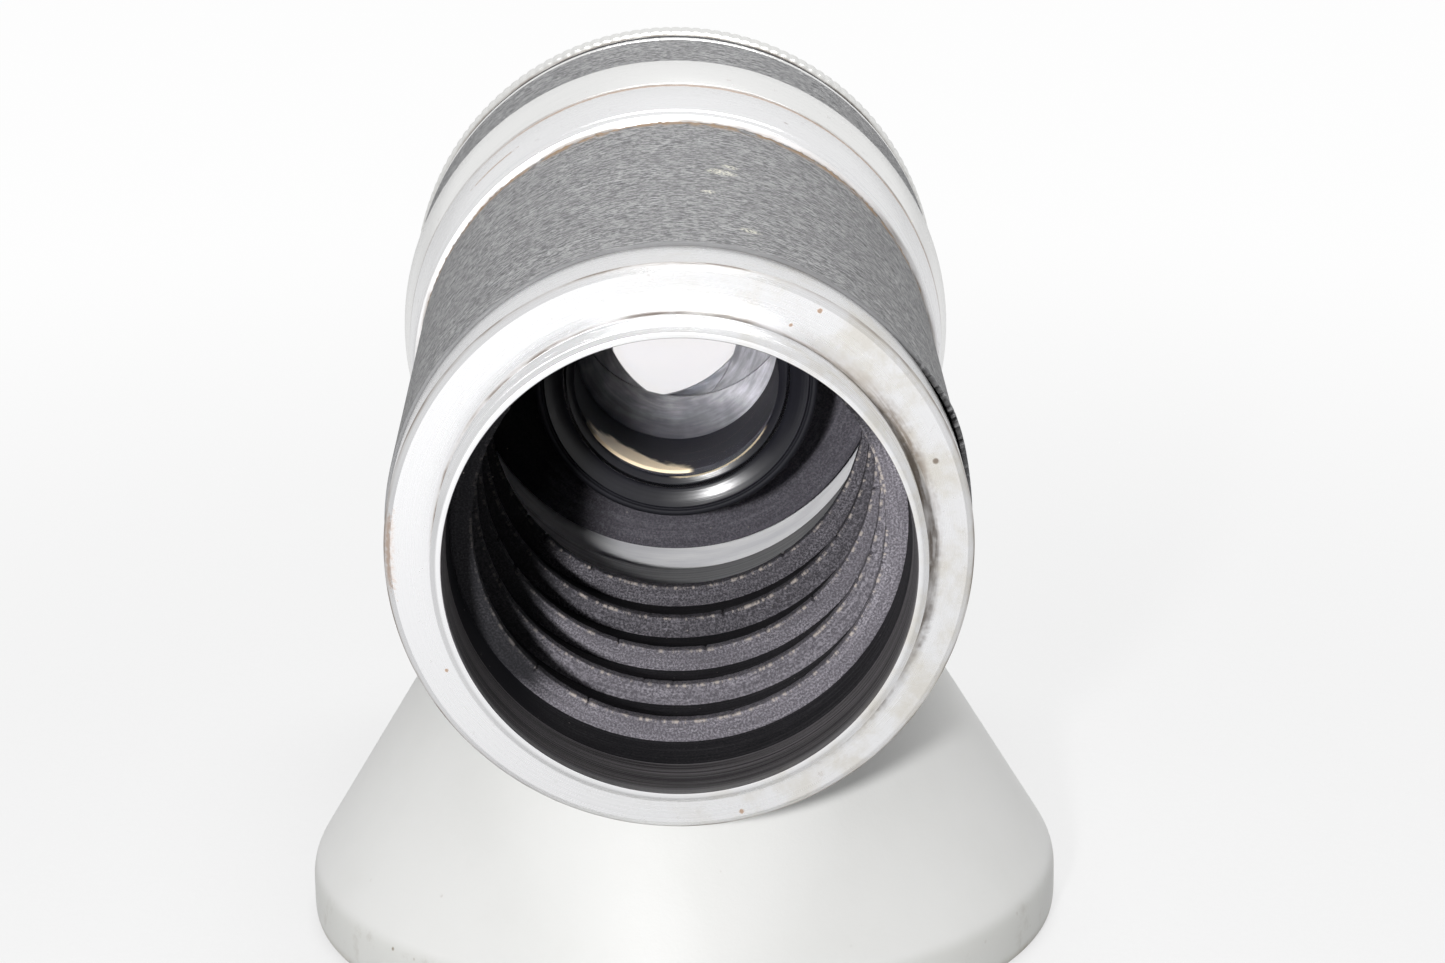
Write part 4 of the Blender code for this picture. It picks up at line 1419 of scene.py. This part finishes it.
    def dress(self) -> None:
        """Black paint inside and leatherette outside."""
        rings = self.rings()
        first, second = [span(node)[0] for node in rings[:2]]
        smooth = GlarePaint(
            (0.016, 0.016, 0.018),
            (0.20, 0.19, 0.205),
            roughness=0.5,
            gloss=0.06,
            sand=0.25,
            bare_from=span(rings[-1])[1],
        )
        self.coat(smooth, "barrel_tube")
        chipped = {"first_edge": first, "edge_pitch": second - first, "crest": self.ring_crest}
        self.coat(GlarePaint(**chipped), *rings[:3])
        # The deeper rings take a darker copy of the paint: painted shade for the light falling off deeper in
        # the bore.
        self.coat(GlarePaint((0.070, 0.066, 0.076), (0.400, 0.380, 0.425), **chipped), *rings[3:])
        spots = ((10, 41, 1.7), (7, 32, 0.9), (15, 19, 1.1), (12, 44, 1.0))
        cover = Leatherette(
            flecks=tuple(Mark(angle, depth, self.wrap_outer, reach) for angle, depth, reach in spots),
            shadow_side_colour_until=self.wrap_start - self.wrap_lap,
            frayed_at=self.wrap_end,
        )
        self.coat(cover, "leatherette_wrap")


@dataclass
class FocusUnit(Assembly):
    """The fixed collar with its pins, and the focus ring with its grip and screws."""

    socket_start: float = 55.3
    socket: float = 22.8
    tube: float = 24.7
    collar_start: float = 63.5
    collar_end: float = 74.5
    collar_rear: float = 26.08
    line: tuple[Point, ...] = ((1.5, 0.13), (1.6, 0.02), (1.9, 0.05), (2.0, 0.18))
    band_rear: float = 27.05
    band_front: float = 28.05
    band_start: float = 74.8
    band_end: float = 82.1
    sleeve: float = 23.0
    sleeve_end: float = 91.0
    collar_bore: float = 21.4
    web_start: float = 63.2
    focus_bore: float = 23.3
    grip_seat: float = 27.0
    grip_start: float = 82.4
    grip_end: float = 95.6
    grip_inner: float = 27.3
    grip_outer: float = 27.75
    lip_gap: float = 0.05
    focus_end: float = 96.8
    nut_start: float = 91.3
    screw_count: int = 3
    screw_depth: float = 85.0
    screw_radius: float = 0.8
    screw_fit: float = 0.1
    screw_overrun: float = 0.2
    screw_groove: float = 0.8
    stop_angle: float = 130.0
    stop_circle: float = 25.175
    stop_floor: float = 76.6
    stop_root: float = 72.0
    throw: float = 270.0
    pin_radius: float = 0.9
    key_depth: float = 89.3
    fit: float = 0.3
    thread_pitch: float = 0.55
    thread_depth: float = 0.32
    thread_end: float = 83.4
    collar_edge: float = 0.16
    focus_edge: float = 0.18
    grip_edge: float = 0.15
    first_screw: float = 180.0
    hole_steps: int = 8
    groove_steps: int = 240
    seam_out: float = 0.7

    def inner_thread(self) -> list[Point]:
        """The fine thread in the collar's bore.

        Returns:
            Its points, from its front to its rear.
        """
        points: list[Point] = []
        start = self.web_start + self.thread_pitch
        for index in range(int((self.thread_end - start) / self.thread_pitch)):
            crest = start + index * self.thread_pitch
            points.append((crest, self.collar_bore))
            points.append((crest + self.thread_pitch / 2.0, self.collar_bore + self.thread_depth))
        return points[::-1]

    def build(self) -> None:
        """Turns the collar, the ring and the grip, and keeps the pins and screws."""
        half = self.screw_radius + self.fit
        floor = self.sleeve - self.screw_groove
        collar = stepped(self.socket_start, self.socket, self.tube, self.collar_start, self.collar_rear)
        collar += [(self.collar_start + along, self.collar_rear + out) for along, out in self.line]
        collar += stepped(self.collar_end, self.band_rear, self.sleeve, self.screw_depth - half, floor)
        collar += stepped(self.screw_depth + half, floor, self.sleeve, self.sleeve_end, self.collar_bore)
        outline = eased(collar, self.collar_edge) + self.inner_thread() + [(self.web_start, self.socket)]
        item = turned("collar", outline)
        pin = self.pin_radius + self.fit / 2.0
        drill(item, 0.0, self.key_depth, self.collar_bore - OVERRUN, self.sleeve + OVERRUN, pin)
        inner, outer = self.stop_circle - pin, self.stop_circle + pin
        hole = ring_outline(self.stop_root, self.collar_end + OVERRUN, inner, outer)
        half = math.degrees(pin / self.stop_circle)
        cut_away(item, swept("stop_hole", hole, self.stop_angle, half, self.hole_steps))
        self.stand_for("fixed_collar", item)
        focus = stepped(self.band_start, self.focus_bore, self.band_rear)
        focus += stepped(self.band_end, self.band_front, self.grip_seat, self.grip_end)
        focus += [(self.grip_end + self.lip_gap, self.grip_outer)]
        focus += stepped(self.focus_end, self.grip_outer, self.collar_bore, self.nut_start, self.focus_bore)
        item = turned("focus", eased(focus, self.focus_edge))
        pin = self.pin_radius + self.fit
        inner, outer = self.stop_circle - pin, self.stop_circle + pin
        groove = ring_outline(self.band_start - OVERRUN, self.stop_floor, inner, outer)
        half = self.throw / 2.0
        margin = math.degrees(pin / self.stop_circle)
        cut_away(item, swept("groove", groove, self.stop_angle - half, half + margin, self.groove_steps))
        for index in range(self.screw_count):
            angle = self.first_screw + index * 360.0 / self.screw_count
            radius = self.screw_radius + self.screw_fit
            inner, outer = self.focus_bore - OVERRUN, self.grip_seat + self.screw_overrun
            drill(item, angle, self.screw_depth, inner, outer, radius)
        self.stand_for("focus_ring", item)
        grip = ring_outline(self.grip_start, self.grip_end, self.grip_inner, self.grip_outer)
        grip = divided(eased(grip, self.grip_edge, FEW_CUTS), COVER_MESH)
        self.stand_for("focus_grip", turned("grip", grip, Fineness.FINE))
        for node in ("focus_stop_pin", "head_key_pin", *self.screws()):
            self.keep(node)

    def screws(self) -> list[str]:
        """Names of the guide screws."""
        return [f"focus_screw_{index + 1}" for index in range(self.screw_count)]

    def dress(self) -> None:
        """Satin chrome, leatherette and steel."""
        seams = ((self.collar_end, self.band_rear), (self.collar_start, self.tube + self.seam_out))
        chrome = TurnedMetal(
            (0.93, 0.93, 0.94),
            0.26,
            wear=0.8,
            seams=seams,
            seam_reach=0.8,
            raw_within=self.socket,
            marks=(
                Mark(20, self.collar_end - 0.5, self.band_rear, 0.6, spread=75),
                Mark(318, 70, 26.7, 0.45, spread=7),
            ),
        )
        self.coat(chrome, "fixed_collar")
        band = TurnedMetal((0.95, 0.95, 0.94), 0.24, wear=0.7, seams=((self.band_start, self.band_rear),))
        self.coat(band, "focus_ring")
        self.coat(Leatherette(around=27.0), "focus_grip")
        self.coat(STEEL, "focus_stop_pin", "head_key_pin", *self.screws())


@dataclass
class LensHead(Assembly):
    """The sliding head with its cells, its glass and its rings."""

    rear: float = 73.0
    floor: float = 75.5
    bore: float = 20.0
    outside: float = 21.1
    cell_hole: float = 14.3
    flange_start: float = 97.1
    flange_end: float = 98.6
    flange_radius: float = 27.6
    nose: float = 24.6
    nose_bore: float = 22.8
    shoulder: float = 98.1
    relief: float = 0.1
    front: float = 103.4
    rear_cell_rear: float = 61.0
    rear_cell_bore: float = 11.2
    rear_cell_radius: float = 14.0
    rear_cell_step: float = 75.8
    rear_cell_front: float = 77.4
    inside: float = 19.7
    rear_clear: float = 10.1
    bevel: float = 0.297
    bevel_radius: float = 13.1
    line: tuple[Point, ...] = ((0.0, 0.0), (0.25, 0.08), (0.25, 0.22), (0.0, 0.30))
    chamfer: float = 0.25
    rear_stop: float = 66.6
    keeper_front: float = 0.98
    rear_glass: float = 10.9
    rear_sag: float = 1.2
    middle_glass: float = 13.5
    middle_hollow: float = 0.7
    front_glass: float = 16.3
    front_sag: float = 2.7
    front_hollow: float = 0.4
    front_cell_front: float = 101.8
    front_cell_bore: float = 16.6
    front_cell_radius: float = 17.6
    mouth: Point = (0.8, 0.4)
    cell_flange: tuple[float, float] = (98.4, 99.7)
    seat: float = 0.8
    thread_pitch: float = 0.75
    thread_depth: float = 0.32
    thread_start: float = 100.0
    thread_rows: int = 60
    run_in: tuple[float, float] = (0.0, 0.5)
    run_out: tuple[float, float] = (0.6, 0.2)
    edge: float = 0.15
    gap: float = 0.3
    matt_over: float = 0.4
    key_slot: tuple[float, float] = (75.1, 90.5)
    key_half: float = 1.2
    pin_depth: float = 100.7
    pin_half: float = 1.0
    pin_middle: float = 149.0
    pin_throw: float = 30.0
    link_inner: float = 17.75
    link_half: float = 37.5
    cell_edge: float = 0.12
    keeper_edge: float = 0.08
    front_cell_edge: float = 0.14
    slot_steps: int = 6

    def filter_thread(self, depth: Field, radius: Field, angle: Field) -> tuple[Field, Field]:
        """Cuts the filter thread into the nose.

        Args:
            depth: depths of the points.
            radius: their radii.
            angle: their angles.

        Returns:
            The moved depths and radii.
        """
        on_bore = np.abs(radius - self.nose_bore) < SAME_RADIUS
        start, full = (self.thread_start + along for along in self.run_in)
        fade = smooth_step(depth, start, full)
        start, full = (self.front - along for along in self.run_out)
        fade *= 1.0 - smooth_step(depth, start, full)
        groove = self.thread_depth * thread_tooth(depth, angle, self.thread_pitch)
        return depth, radius + on_bore * fade * groove

    def dome(self, edge: float, radius: float, rise: float, steps: int = 22) -> list[Point]:
        """One face of a glass element, from its edge to the axis.

        Args:
            edge: the depth of its edge.
            radius: its radius.
            rise: how far its middle lies ahead of its edge.
            steps: points along it.

        Returns:
            Its points.
        """
        if rise == 0.0:
            return [(edge, radius), (edge, 0.0)]
        ball = (radius**2 + rise**2) / (2.0 * rise)
        points = []
        for step in range(steps + 1):
            reach = radius * (1.0 - step / steps)
            fall = abs(ball) - math.sqrt(ball**2 - reach**2)
            points.append((edge + rise - math.copysign(fall, rise), reach))
        return points

    def element(self, node: str, radius: float, rear_rise: float, front_rise: float) -> None:
        """Makes one glass element between the ends of its solid.

        Args:
            node: its solid.
            radius: its radius.
            rear_rise: how far the middle of its rear face lies ahead of its edge.
            front_rise: how far the middle of its front face lies ahead of its edge.
        """
        rear, front = span(node)
        rear_edge, front_edge = rear - min(rear_rise, 0.0), front - max(front_rise, 0.0)
        outline = self.dome(rear_edge, radius, rear_rise)[::-1] + self.dome(front_edge, radius, front_rise)
        self.stand_for(node, turned("glass", outline, Fineness.SMALL))

    def build(self) -> None:
        """Turns the head, the cells, the glass and the rings."""
        depths = np.linspace(self.front - self.edge, self.shoulder + self.relief, self.thread_rows)
        nose = [(float(depth), self.nose_bore) for depth in depths]
        head = [(self.floor, self.cell_hole)]
        head += stepped(self.rear, self.cell_hole, self.outside, self.flange_start, self.flange_radius)
        head += stepped(self.flange_end, self.flange_radius, self.nose, self.front, self.nose_bore)
        head = eased(head, self.edge)[: -CORNER_CUTS - 1]
        head += [(self.front, self.nose_bore + self.edge)] + nose
        head += [(self.shoulder, self.nose_bore), (self.shoulder, self.bore), (self.floor, self.bore)]
        item = turned("head", head, warp=self.filter_thread)
        slot = ring_outline(*self.key_slot, self.bore - OVERRUN, self.outside + OVERRUN)
        half = math.degrees(self.key_half / self.outside)
        cut_away(item, swept("key_slot", slot, 0.0, half, self.slot_steps))
        low, high = self.pin_depth - self.pin_half, self.pin_depth + self.pin_half
        window = ring_outline(low, high, self.nose_bore - OVERRUN, self.nose + OVERRUN)
        margin = math.degrees(self.pin_half / self.nose_bore)
        cut_away(item, swept("pin_slot", window, self.pin_middle, self.pin_throw + margin))
        self.stand_for("head_barrel", item)
        cell_rear = self.rear_cell_rear
        rear_cell = [
            (cell_rear + self.bevel * (self.bevel_radius - self.rear_cell_bore), self.rear_cell_bore),
            *[(cell_rear + along, self.bevel_radius + out) for along, out in self.line],
            (cell_rear, self.rear_cell_radius - self.chamfer),
            (cell_rear + self.chamfer, self.rear_cell_radius),
            *stepped(self.rear_cell_step, self.rear_cell_radius, self.inside, self.rear_cell_front),
            (self.rear_cell_front, self.rear_clear),
            *stepped(self.rear_stop, self.rear_clear, self.rear_cell_bore),
        ]
        self.stand_for("rear_cell", turned("cell", eased(rear_cell, self.cell_edge)))
        keeper = [
            (cell_rear + self.keeper_front, self.rear_clear),
            (cell_rear + self.bevel * (self.bevel_radius - self.rear_clear), self.rear_clear),
            (cell_rear + self.bevel * (self.bevel_radius - self.rear_glass), self.rear_glass),
            (cell_rear + self.keeper_front, self.rear_glass),
        ]
        self.stand_for("rear_retaining_ring", turned("keeper", eased(keeper, self.keeper_edge)))
        middle_front = span("middle_element")[1]
        front_rear = span("front_element")[0]
        start = span("front_cell")[0]
        low, high = self.cell_flange
        seat, rim = self.middle_glass - self.seat, self.nose_bore - self.gap
        front_cell = stepped(start, self.middle_glass + self.gap, self.front_cell_radius, low, rim)
        front_cell += stepped(high, rim, self.front_cell_radius, self.front_cell_front)
        front_cell += [
            (self.front_cell_front, self.front_cell_bore + self.mouth[1]),
            (self.front_cell_front - self.mouth[0], self.front_cell_bore),
            *stepped(front_rear - self.gap, self.front_cell_bore, seat, middle_front + self.gap),
            (middle_front + self.gap, self.middle_glass + self.gap),
        ]
        item = turned("cell", eased(front_cell, self.front_cell_edge))
        notch = ring_outline(low - OVERRUN, high + OVERRUN, self.link_inner, self.bore)
        cut_away(item, swept("link_notch", notch, self.pin_middle, self.link_half))
        self.stand_for("front_cell", item)
        self.plain_ring("middle_retaining_ring", self.middle_glass - self.seat, self.middle_glass)
        self.plain_ring("front_retaining_ring", self.front_glass - self.seat, self.front_glass)
        self.plain_ring("front_trim_ring", self.front_cell_radius + self.gap, self.nose_bore - self.gap)
        self.element("rear_element", self.rear_glass, -self.rear_sag, -self.rear_sag)
        self.element("middle_element", self.middle_glass, self.middle_hollow, -self.middle_hollow)
        self.element("front_element", self.front_glass, self.front_hollow, self.front_sag)

    def plain_ring(self, node: str, inner: float, outer: float) -> None:
        """Turns a ring between the ends of its solid.

        Args:
            node: its solid.
            inner: its inner radius.
            outer: its outer radius.
        """
        outline = ring_outline(*span(node), inner, outer)
        self.stand_for(node, turned("ring", eased(outline, self.edge)))

    def dress(self) -> None:
        """Black paint, black enamel and coated glass."""
        self.coat(GlarePaint((0.090, 0.085, 0.100), (0.32, 0.305, 0.35), sand=0.6), "head_barrel")
        # Painted reflections: a cream leaf inside the rear cell, and a thin gold arc on the rear keeper's
        # edge.
        painted_reflection = Mark(204, 65.5, self.rear_clear, 6.0)
        worn_edge = Mark(152, self.rear_cell_rear + 0.9, self.rear_clear, 0.2, spread=34, length=0.3)
        enamel = GlossBlack(
            roughness=0.15,
            gloss=0.35,
            bare=(painted_reflection,),
            reflection_within=self.rear_clear + self.gap,
            matt_within=self.rear_clear + self.matt_over,
            matt_beyond=self.bevel_radius,
        )
        self.coat(enamel, "rear_cell")
        # The keeper carries the painted gold reflection arc.
        self.coat(GlossBlack(bare=(worn_edge,)), "rear_retaining_ring")
        rings = ("front_cell", "middle_retaining_ring", "front_retaining_ring", "front_trim_ring")
        self.coat(GlossBlack(roughness=0.4), *rings)
        self.coat(CoatedGlass(), "rear_element", "middle_element", "front_element")


@dataclass
class ApertureUnit(Assembly):
    """The knurled aperture ring, its retainer, and the pieces that carry its turn to the iris."""

    bore: float = 24.9
    outside: float = 27.95
    start: float = 98.9
    end: float = 102.4
    edge: float = 0.4
    retainer_wall: float = 1.3
    knurls: int = 160
    knurl_depth: float = 0.12
    pin_angle: float = 150.0
    pin_depth: float = 100.7
    pin_radius: float = 0.7
    pin_fit: float = 0.15
    pin_seat: float = 26.4
    rounding: float = 0.15
    retainer_edge: float = 0.18
    knurl_run: tuple[float, float] = (0.05, 0.02)

    def knurl(self, depth: Field, radius: Field, angle: Field) -> tuple[Field, Field]:
        """Cuts the straight knurl.

        Args:
            depth: depths of the points.
            radius: their radii.
            angle: their angles.

        Returns:
            The moved depths and radii.
        """
        start, full = self.knurl_run
        rim = smooth_step(radius, self.outside - self.edge - start, self.outside - full)
        groove = 0.5 + 0.5 * np.cos(angle * self.knurls)
        return depth, radius - rim * self.knurl_depth * groove**3

    def build(self) -> None:
        """Turns the rings and keeps the pin and link."""
        outline = [
            (self.start, self.bore),
            (self.start, self.outside - self.edge),
            (self.start + self.edge, self.outside),
            (self.end - self.edge, self.outside),
            (self.end, self.outside - self.edge),
            (self.end, self.bore),
        ]
        item = turned("aperture", eased(outline, self.rounding), Fineness.FINE, self.knurl)
        radius = self.pin_radius + self.pin_fit
        drill(item, self.pin_angle, self.pin_depth, self.bore - OVERRUN, self.pin_seat, radius)
        self.stand_for("aperture_ring", item)
        retainer = ring_outline(*span("aperture_retainer"), self.bore, self.bore + self.retainer_wall)
        self.stand_for("aperture_retainer", turned("retainer", eased(retainer, self.retainer_edge)))
        for node in ("aperture_pin", "aperture_link", "iris_cam_ring"):
            self.keep(node)

    def dress(self) -> None:
        """Satin chrome outside, steel and black paint inside."""
        chrome = TurnedMetal((0.84, 0.84, 0.82), 0.28, seams=((self.start, self.outside - self.edge),))
        self.coat(chrome, "aperture_ring", "aperture_retainer")
        self.coat(STEEL, "aperture_pin", "aperture_link")
        self.coat(INNER_BLACK, "iris_cam_ring")


@dataclass
class Iris(Assembly):
    """The blades on their pivots, and their base ring."""

    count: int = 8
    thickness: float = 0.47
    pivot_circle: float = 18.2
    inner: float = 11.3
    full_inner: float = 12.0
    outer: float = 16.9
    sweep: float = math.radians(150.0)
    ear: float = 1.3
    rest_opening: float = 7.0
    arc_steps: int = 40

    def blade_outline(self) -> list[Point]:
        """One blade, wide open, in the plane of the iris.

        Returns:
            Its points, measured from its pivot.
        """
        points = []
        for step in range(self.arc_steps + 1):
            angle = self.sweep * step / self.arc_steps
            points.append((self.inner * math.cos(angle), self.inner * math.sin(angle)))
        clear = self.ear / self.outer
        for step in range(self.arc_steps + 1):
            angle = self.sweep - (self.sweep - clear) * step / self.arc_steps
            points.append((self.outer * math.cos(angle), self.outer * math.sin(angle)))
        for step in range(self.arc_steps // 4 + 1):
            angle = math.pi / 2.0 - math.pi * step / (self.arc_steps // 4)
            points.append((self.pivot_circle + self.ear * math.cos(angle), self.ear * math.sin(angle)))
        return [(across - self.pivot_circle, along) for across, along in points]

    def build(self) -> None:
        """Cuts the blades and keeps the base ring."""
        rest = 2.0 * math.asin((self.full_inner - self.rest_opening) / (2.0 * self.pivot_circle))
        outline = self.blade_outline()
        for index, node in enumerate(self.blades()):
            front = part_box(node)[1].y
            angle = index * FULL_TURN / self.count
            turn = Matrix.Rotation(angle + rest, 2)
            pivot = Vector((math.cos(angle), math.sin(angle))) * self.pivot_circle
            flat = [turn @ Vector(point) + pivot for point in outline]
            corners = [(spot.x * MM, AXIS_HEIGHT - spot.y * MM) for spot in flat]
            size = len(corners)
            layers = (front - self.thickness * MM, front)
            points = np.array([(across, layer, up) for layer in layers for across, up in corners])
            sides = [(k, (k + 1) % size, (k + 1) % size + size, k + size) for k in range(size)]
            faces = [list(range(size)), list(range(2 * size - 1, size - 1, -1)), *sides]
            self.stand_for(node, new_object("blade", points, faces))
        self.keep("iris_base_ring")

    def blades(self) -> list[str]:
        """Names of the blades, in the order of their pivots."""
        return [f"iris_blade_{index + 1:02d}" for index in range(self.count)]

    def dress(self) -> None:
        """Blued steel blades with painted shadow on their left and lower side, on a black ring."""
        blades = self.blades()
        low, high = span(blades[0])
        # Painted shadow over the left and lower blades.
        shadow_marks = Mark(222, (low + high) / 2.0, self.inner, 9.0, spread=98)
        self.coat(BladeSteel(shadow_marks=(shadow_marks,)), *blades)
        self.coat(INNER_BLACK, "iris_base_ring")


@dataclass
class CradleStand(Assembly):
    """The white flared foot that the lens lies in."""

    radius: float = 36.0
    rim: float = 5.0
    slope: float = 0.603
    top: float = 30.6
    foot: float = 0.5
    rounding: float = 1.3
    rounding_cuts: int = 6
    wrap: float = 25.8
    wrap_end: float = 63.2
    collar: float = 27.65
    collar_end: float = 74.5
    widest: float = 28.65
    steps: int = 256

    def build(self) -> None:
        """Turns the foot about its own upright axis and cuts the saddle."""
        low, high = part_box("stand_body")
        centre = (low.y + high.y) / 2.0
        outline = eased(
            [
                (0.0, 0.0),
                (0.0, self.radius - self.foot),
                (self.foot, self.radius),
                (self.rim, self.radius),
                (self.top, self.radius - self.slope * (self.top - self.rim)),
                (self.top, 0.0),
            ],
            self.rounding,
            self.rounding_cuts,
        )
        points = []
        for height, radius in outline:
            for step in range(self.steps):
                angle = FULL_TURN * step / self.steps
                across, along = radius * math.cos(angle) * MM, radius * math.sin(angle) * MM
                points.append((across, centre + along, height * MM))
        pairs = [(row, row + 1) for row in range(len(outline) - 1)]
        item = new_object("stand", np.array(points), strips(pairs, self.steps))
        far = 2.0 * self.radius + self.collar_end
        saddle = stepped(-self.radius, 0.0, self.wrap, self.wrap_end, self.collar)
        saddle += stepped(self.collar_end, self.collar, self.widest, far, 0.0)
        cut_away(item, turned("saddle", saddle))
        self.stand_for("stand_body", item)

    def dress(self) -> None:
        """White plastic."""
        self.coat(WhiteMoulding(rim_height=self.rim), "stand_body")


@dataclass
class Studio:
    """Floor, lamps, surroundings and camera."""

    floor_size: float = 6.0
    camera_place: tuple[float, float, float] = (0.0, -0.3727, 0.15047)
    camera_right: tuple[float, float, float] = (0.99980, -0.01527, -0.01275)
    camera_forward: tuple[float, float, float] = (0.01102, 0.95866, -0.28432)
    lens: float = 100.0
    sensor: float = 36.0
    near_clip: float = 0.01
    flash_direction: tuple[float, float, float] = (0.19, 1.0, -0.265)
    flash_distance: float = 0.46
    flash_size: float = 0.03
    flash_power: float = 1.44
    ceiling_height: float = 0.8
    ceiling_ahead: float = 0.20
    ceiling_right: float = 0.06
    ceiling_size: float = 0.6
    ceiling_power: float = 5.4
    surroundings: float = 0.10
    mirrored: float = 0.88

    def build(self) -> None:
        """Makes the floor, the lamps, the surroundings and the camera."""
        half = self.floor_size / 2.0
        corners = np.array([(-half, -half, 0.0), (half, -half, 0.0), (half, half, 0.0), (-half, half, 0.0)])
        floor = new_object("floor", corners, [(0, 1, 2, 3)])
        floor.data.materials.append(PaleFloor().material("table_paper"))
        target = Vector((0.0, 0.0, AXIS_HEIGHT))
        away = -Vector(self.flash_direction).normalized()
        self.lamp("flash", target + away * self.flash_distance, target, self.flash_size, self.flash_power)
        above = Vector((self.ceiling_right, self.ceiling_ahead, self.ceiling_height))
        self.lamp("ceiling", above, target, self.ceiling_size, self.ceiling_power)
        self.surround()
        self.camera()
        bpy.context.scene.view_settings.view_transform = "Standard"

    def lamp(self, name: str, place: Vector, target: Vector, size: float, power: float) -> None:
        """Adds a round area lamp.

        Args:
            name: its name.
            place: where it is.
            target: what it points at.
            size: its diameter.
            power: its watts.
        """
        light = bpy.data.lights.new(name, "AREA")
        light.shape = "DISK"
        light.size = size
        light.energy = power
        item = placed(name, light)
        item.location = place
        item.rotation_euler = (target - place).to_track_quat("-Z", "Y").to_euler()

    def surround(self) -> None:
        """White surroundings: full white where seen or seen through, softer in reflections and as a light."""
        world = bpy.data.worlds.new("surroundings")
        world.use_nodes = True
        bpy.context.scene.world = world
        graph = Graph(world.node_tree)
        background = graph.tree.nodes["Background"].inputs
        path = graph.node("ShaderNodeLightPath").outputs
        strength: Linked = self.surroundings
        seen = {"Is Glossy Ray": self.mirrored, "Is Transmission Ray": 1.0, "Is Camera Ray": 1.0}
        for ray, level in seen.items():
            inputs = {"Factor": path[ray], "A": strength, "B": level}
            strength = graph.value("ShaderNodeMix", {}, inputs, "Result")
        graph.feed(background["Strength"], strength)
        graph.feed(background["Color"], WHITE)

    def camera(self) -> None:
        """Puts the camera where the photograph was taken from."""
        right = Vector(self.camera_right).normalized()
        forward = Vector(self.camera_forward).normalized()
        up = right.cross(forward)
        data = bpy.data.cameras.new("camera")
        data.lens = self.lens
        data.sensor_width = self.sensor
        data.sensor_fit = "HORIZONTAL"
        data.clip_start = self.near_clip
        item = placed("camera", data)
        turn = Matrix((right, up, -forward)).transposed().to_4x4()
        item.matrix_world = Matrix.Translation(self.camera_place) @ turn
        bpy.context.scene.camera = item


def main() -> None:
    """Builds and dresses each sub-assembly, then the studio."""
    logging.basicConfig(level=logging.INFO, format="%(name)s %(message)s")
    for unit in (RearMount(), RearTube(), FocusUnit(), LensHead(), ApertureUnit(), Iris(), CradleStand()):
        unit.build()
        unit.dress()
    Studio().build()


if __name__ == "__main__":
    main()
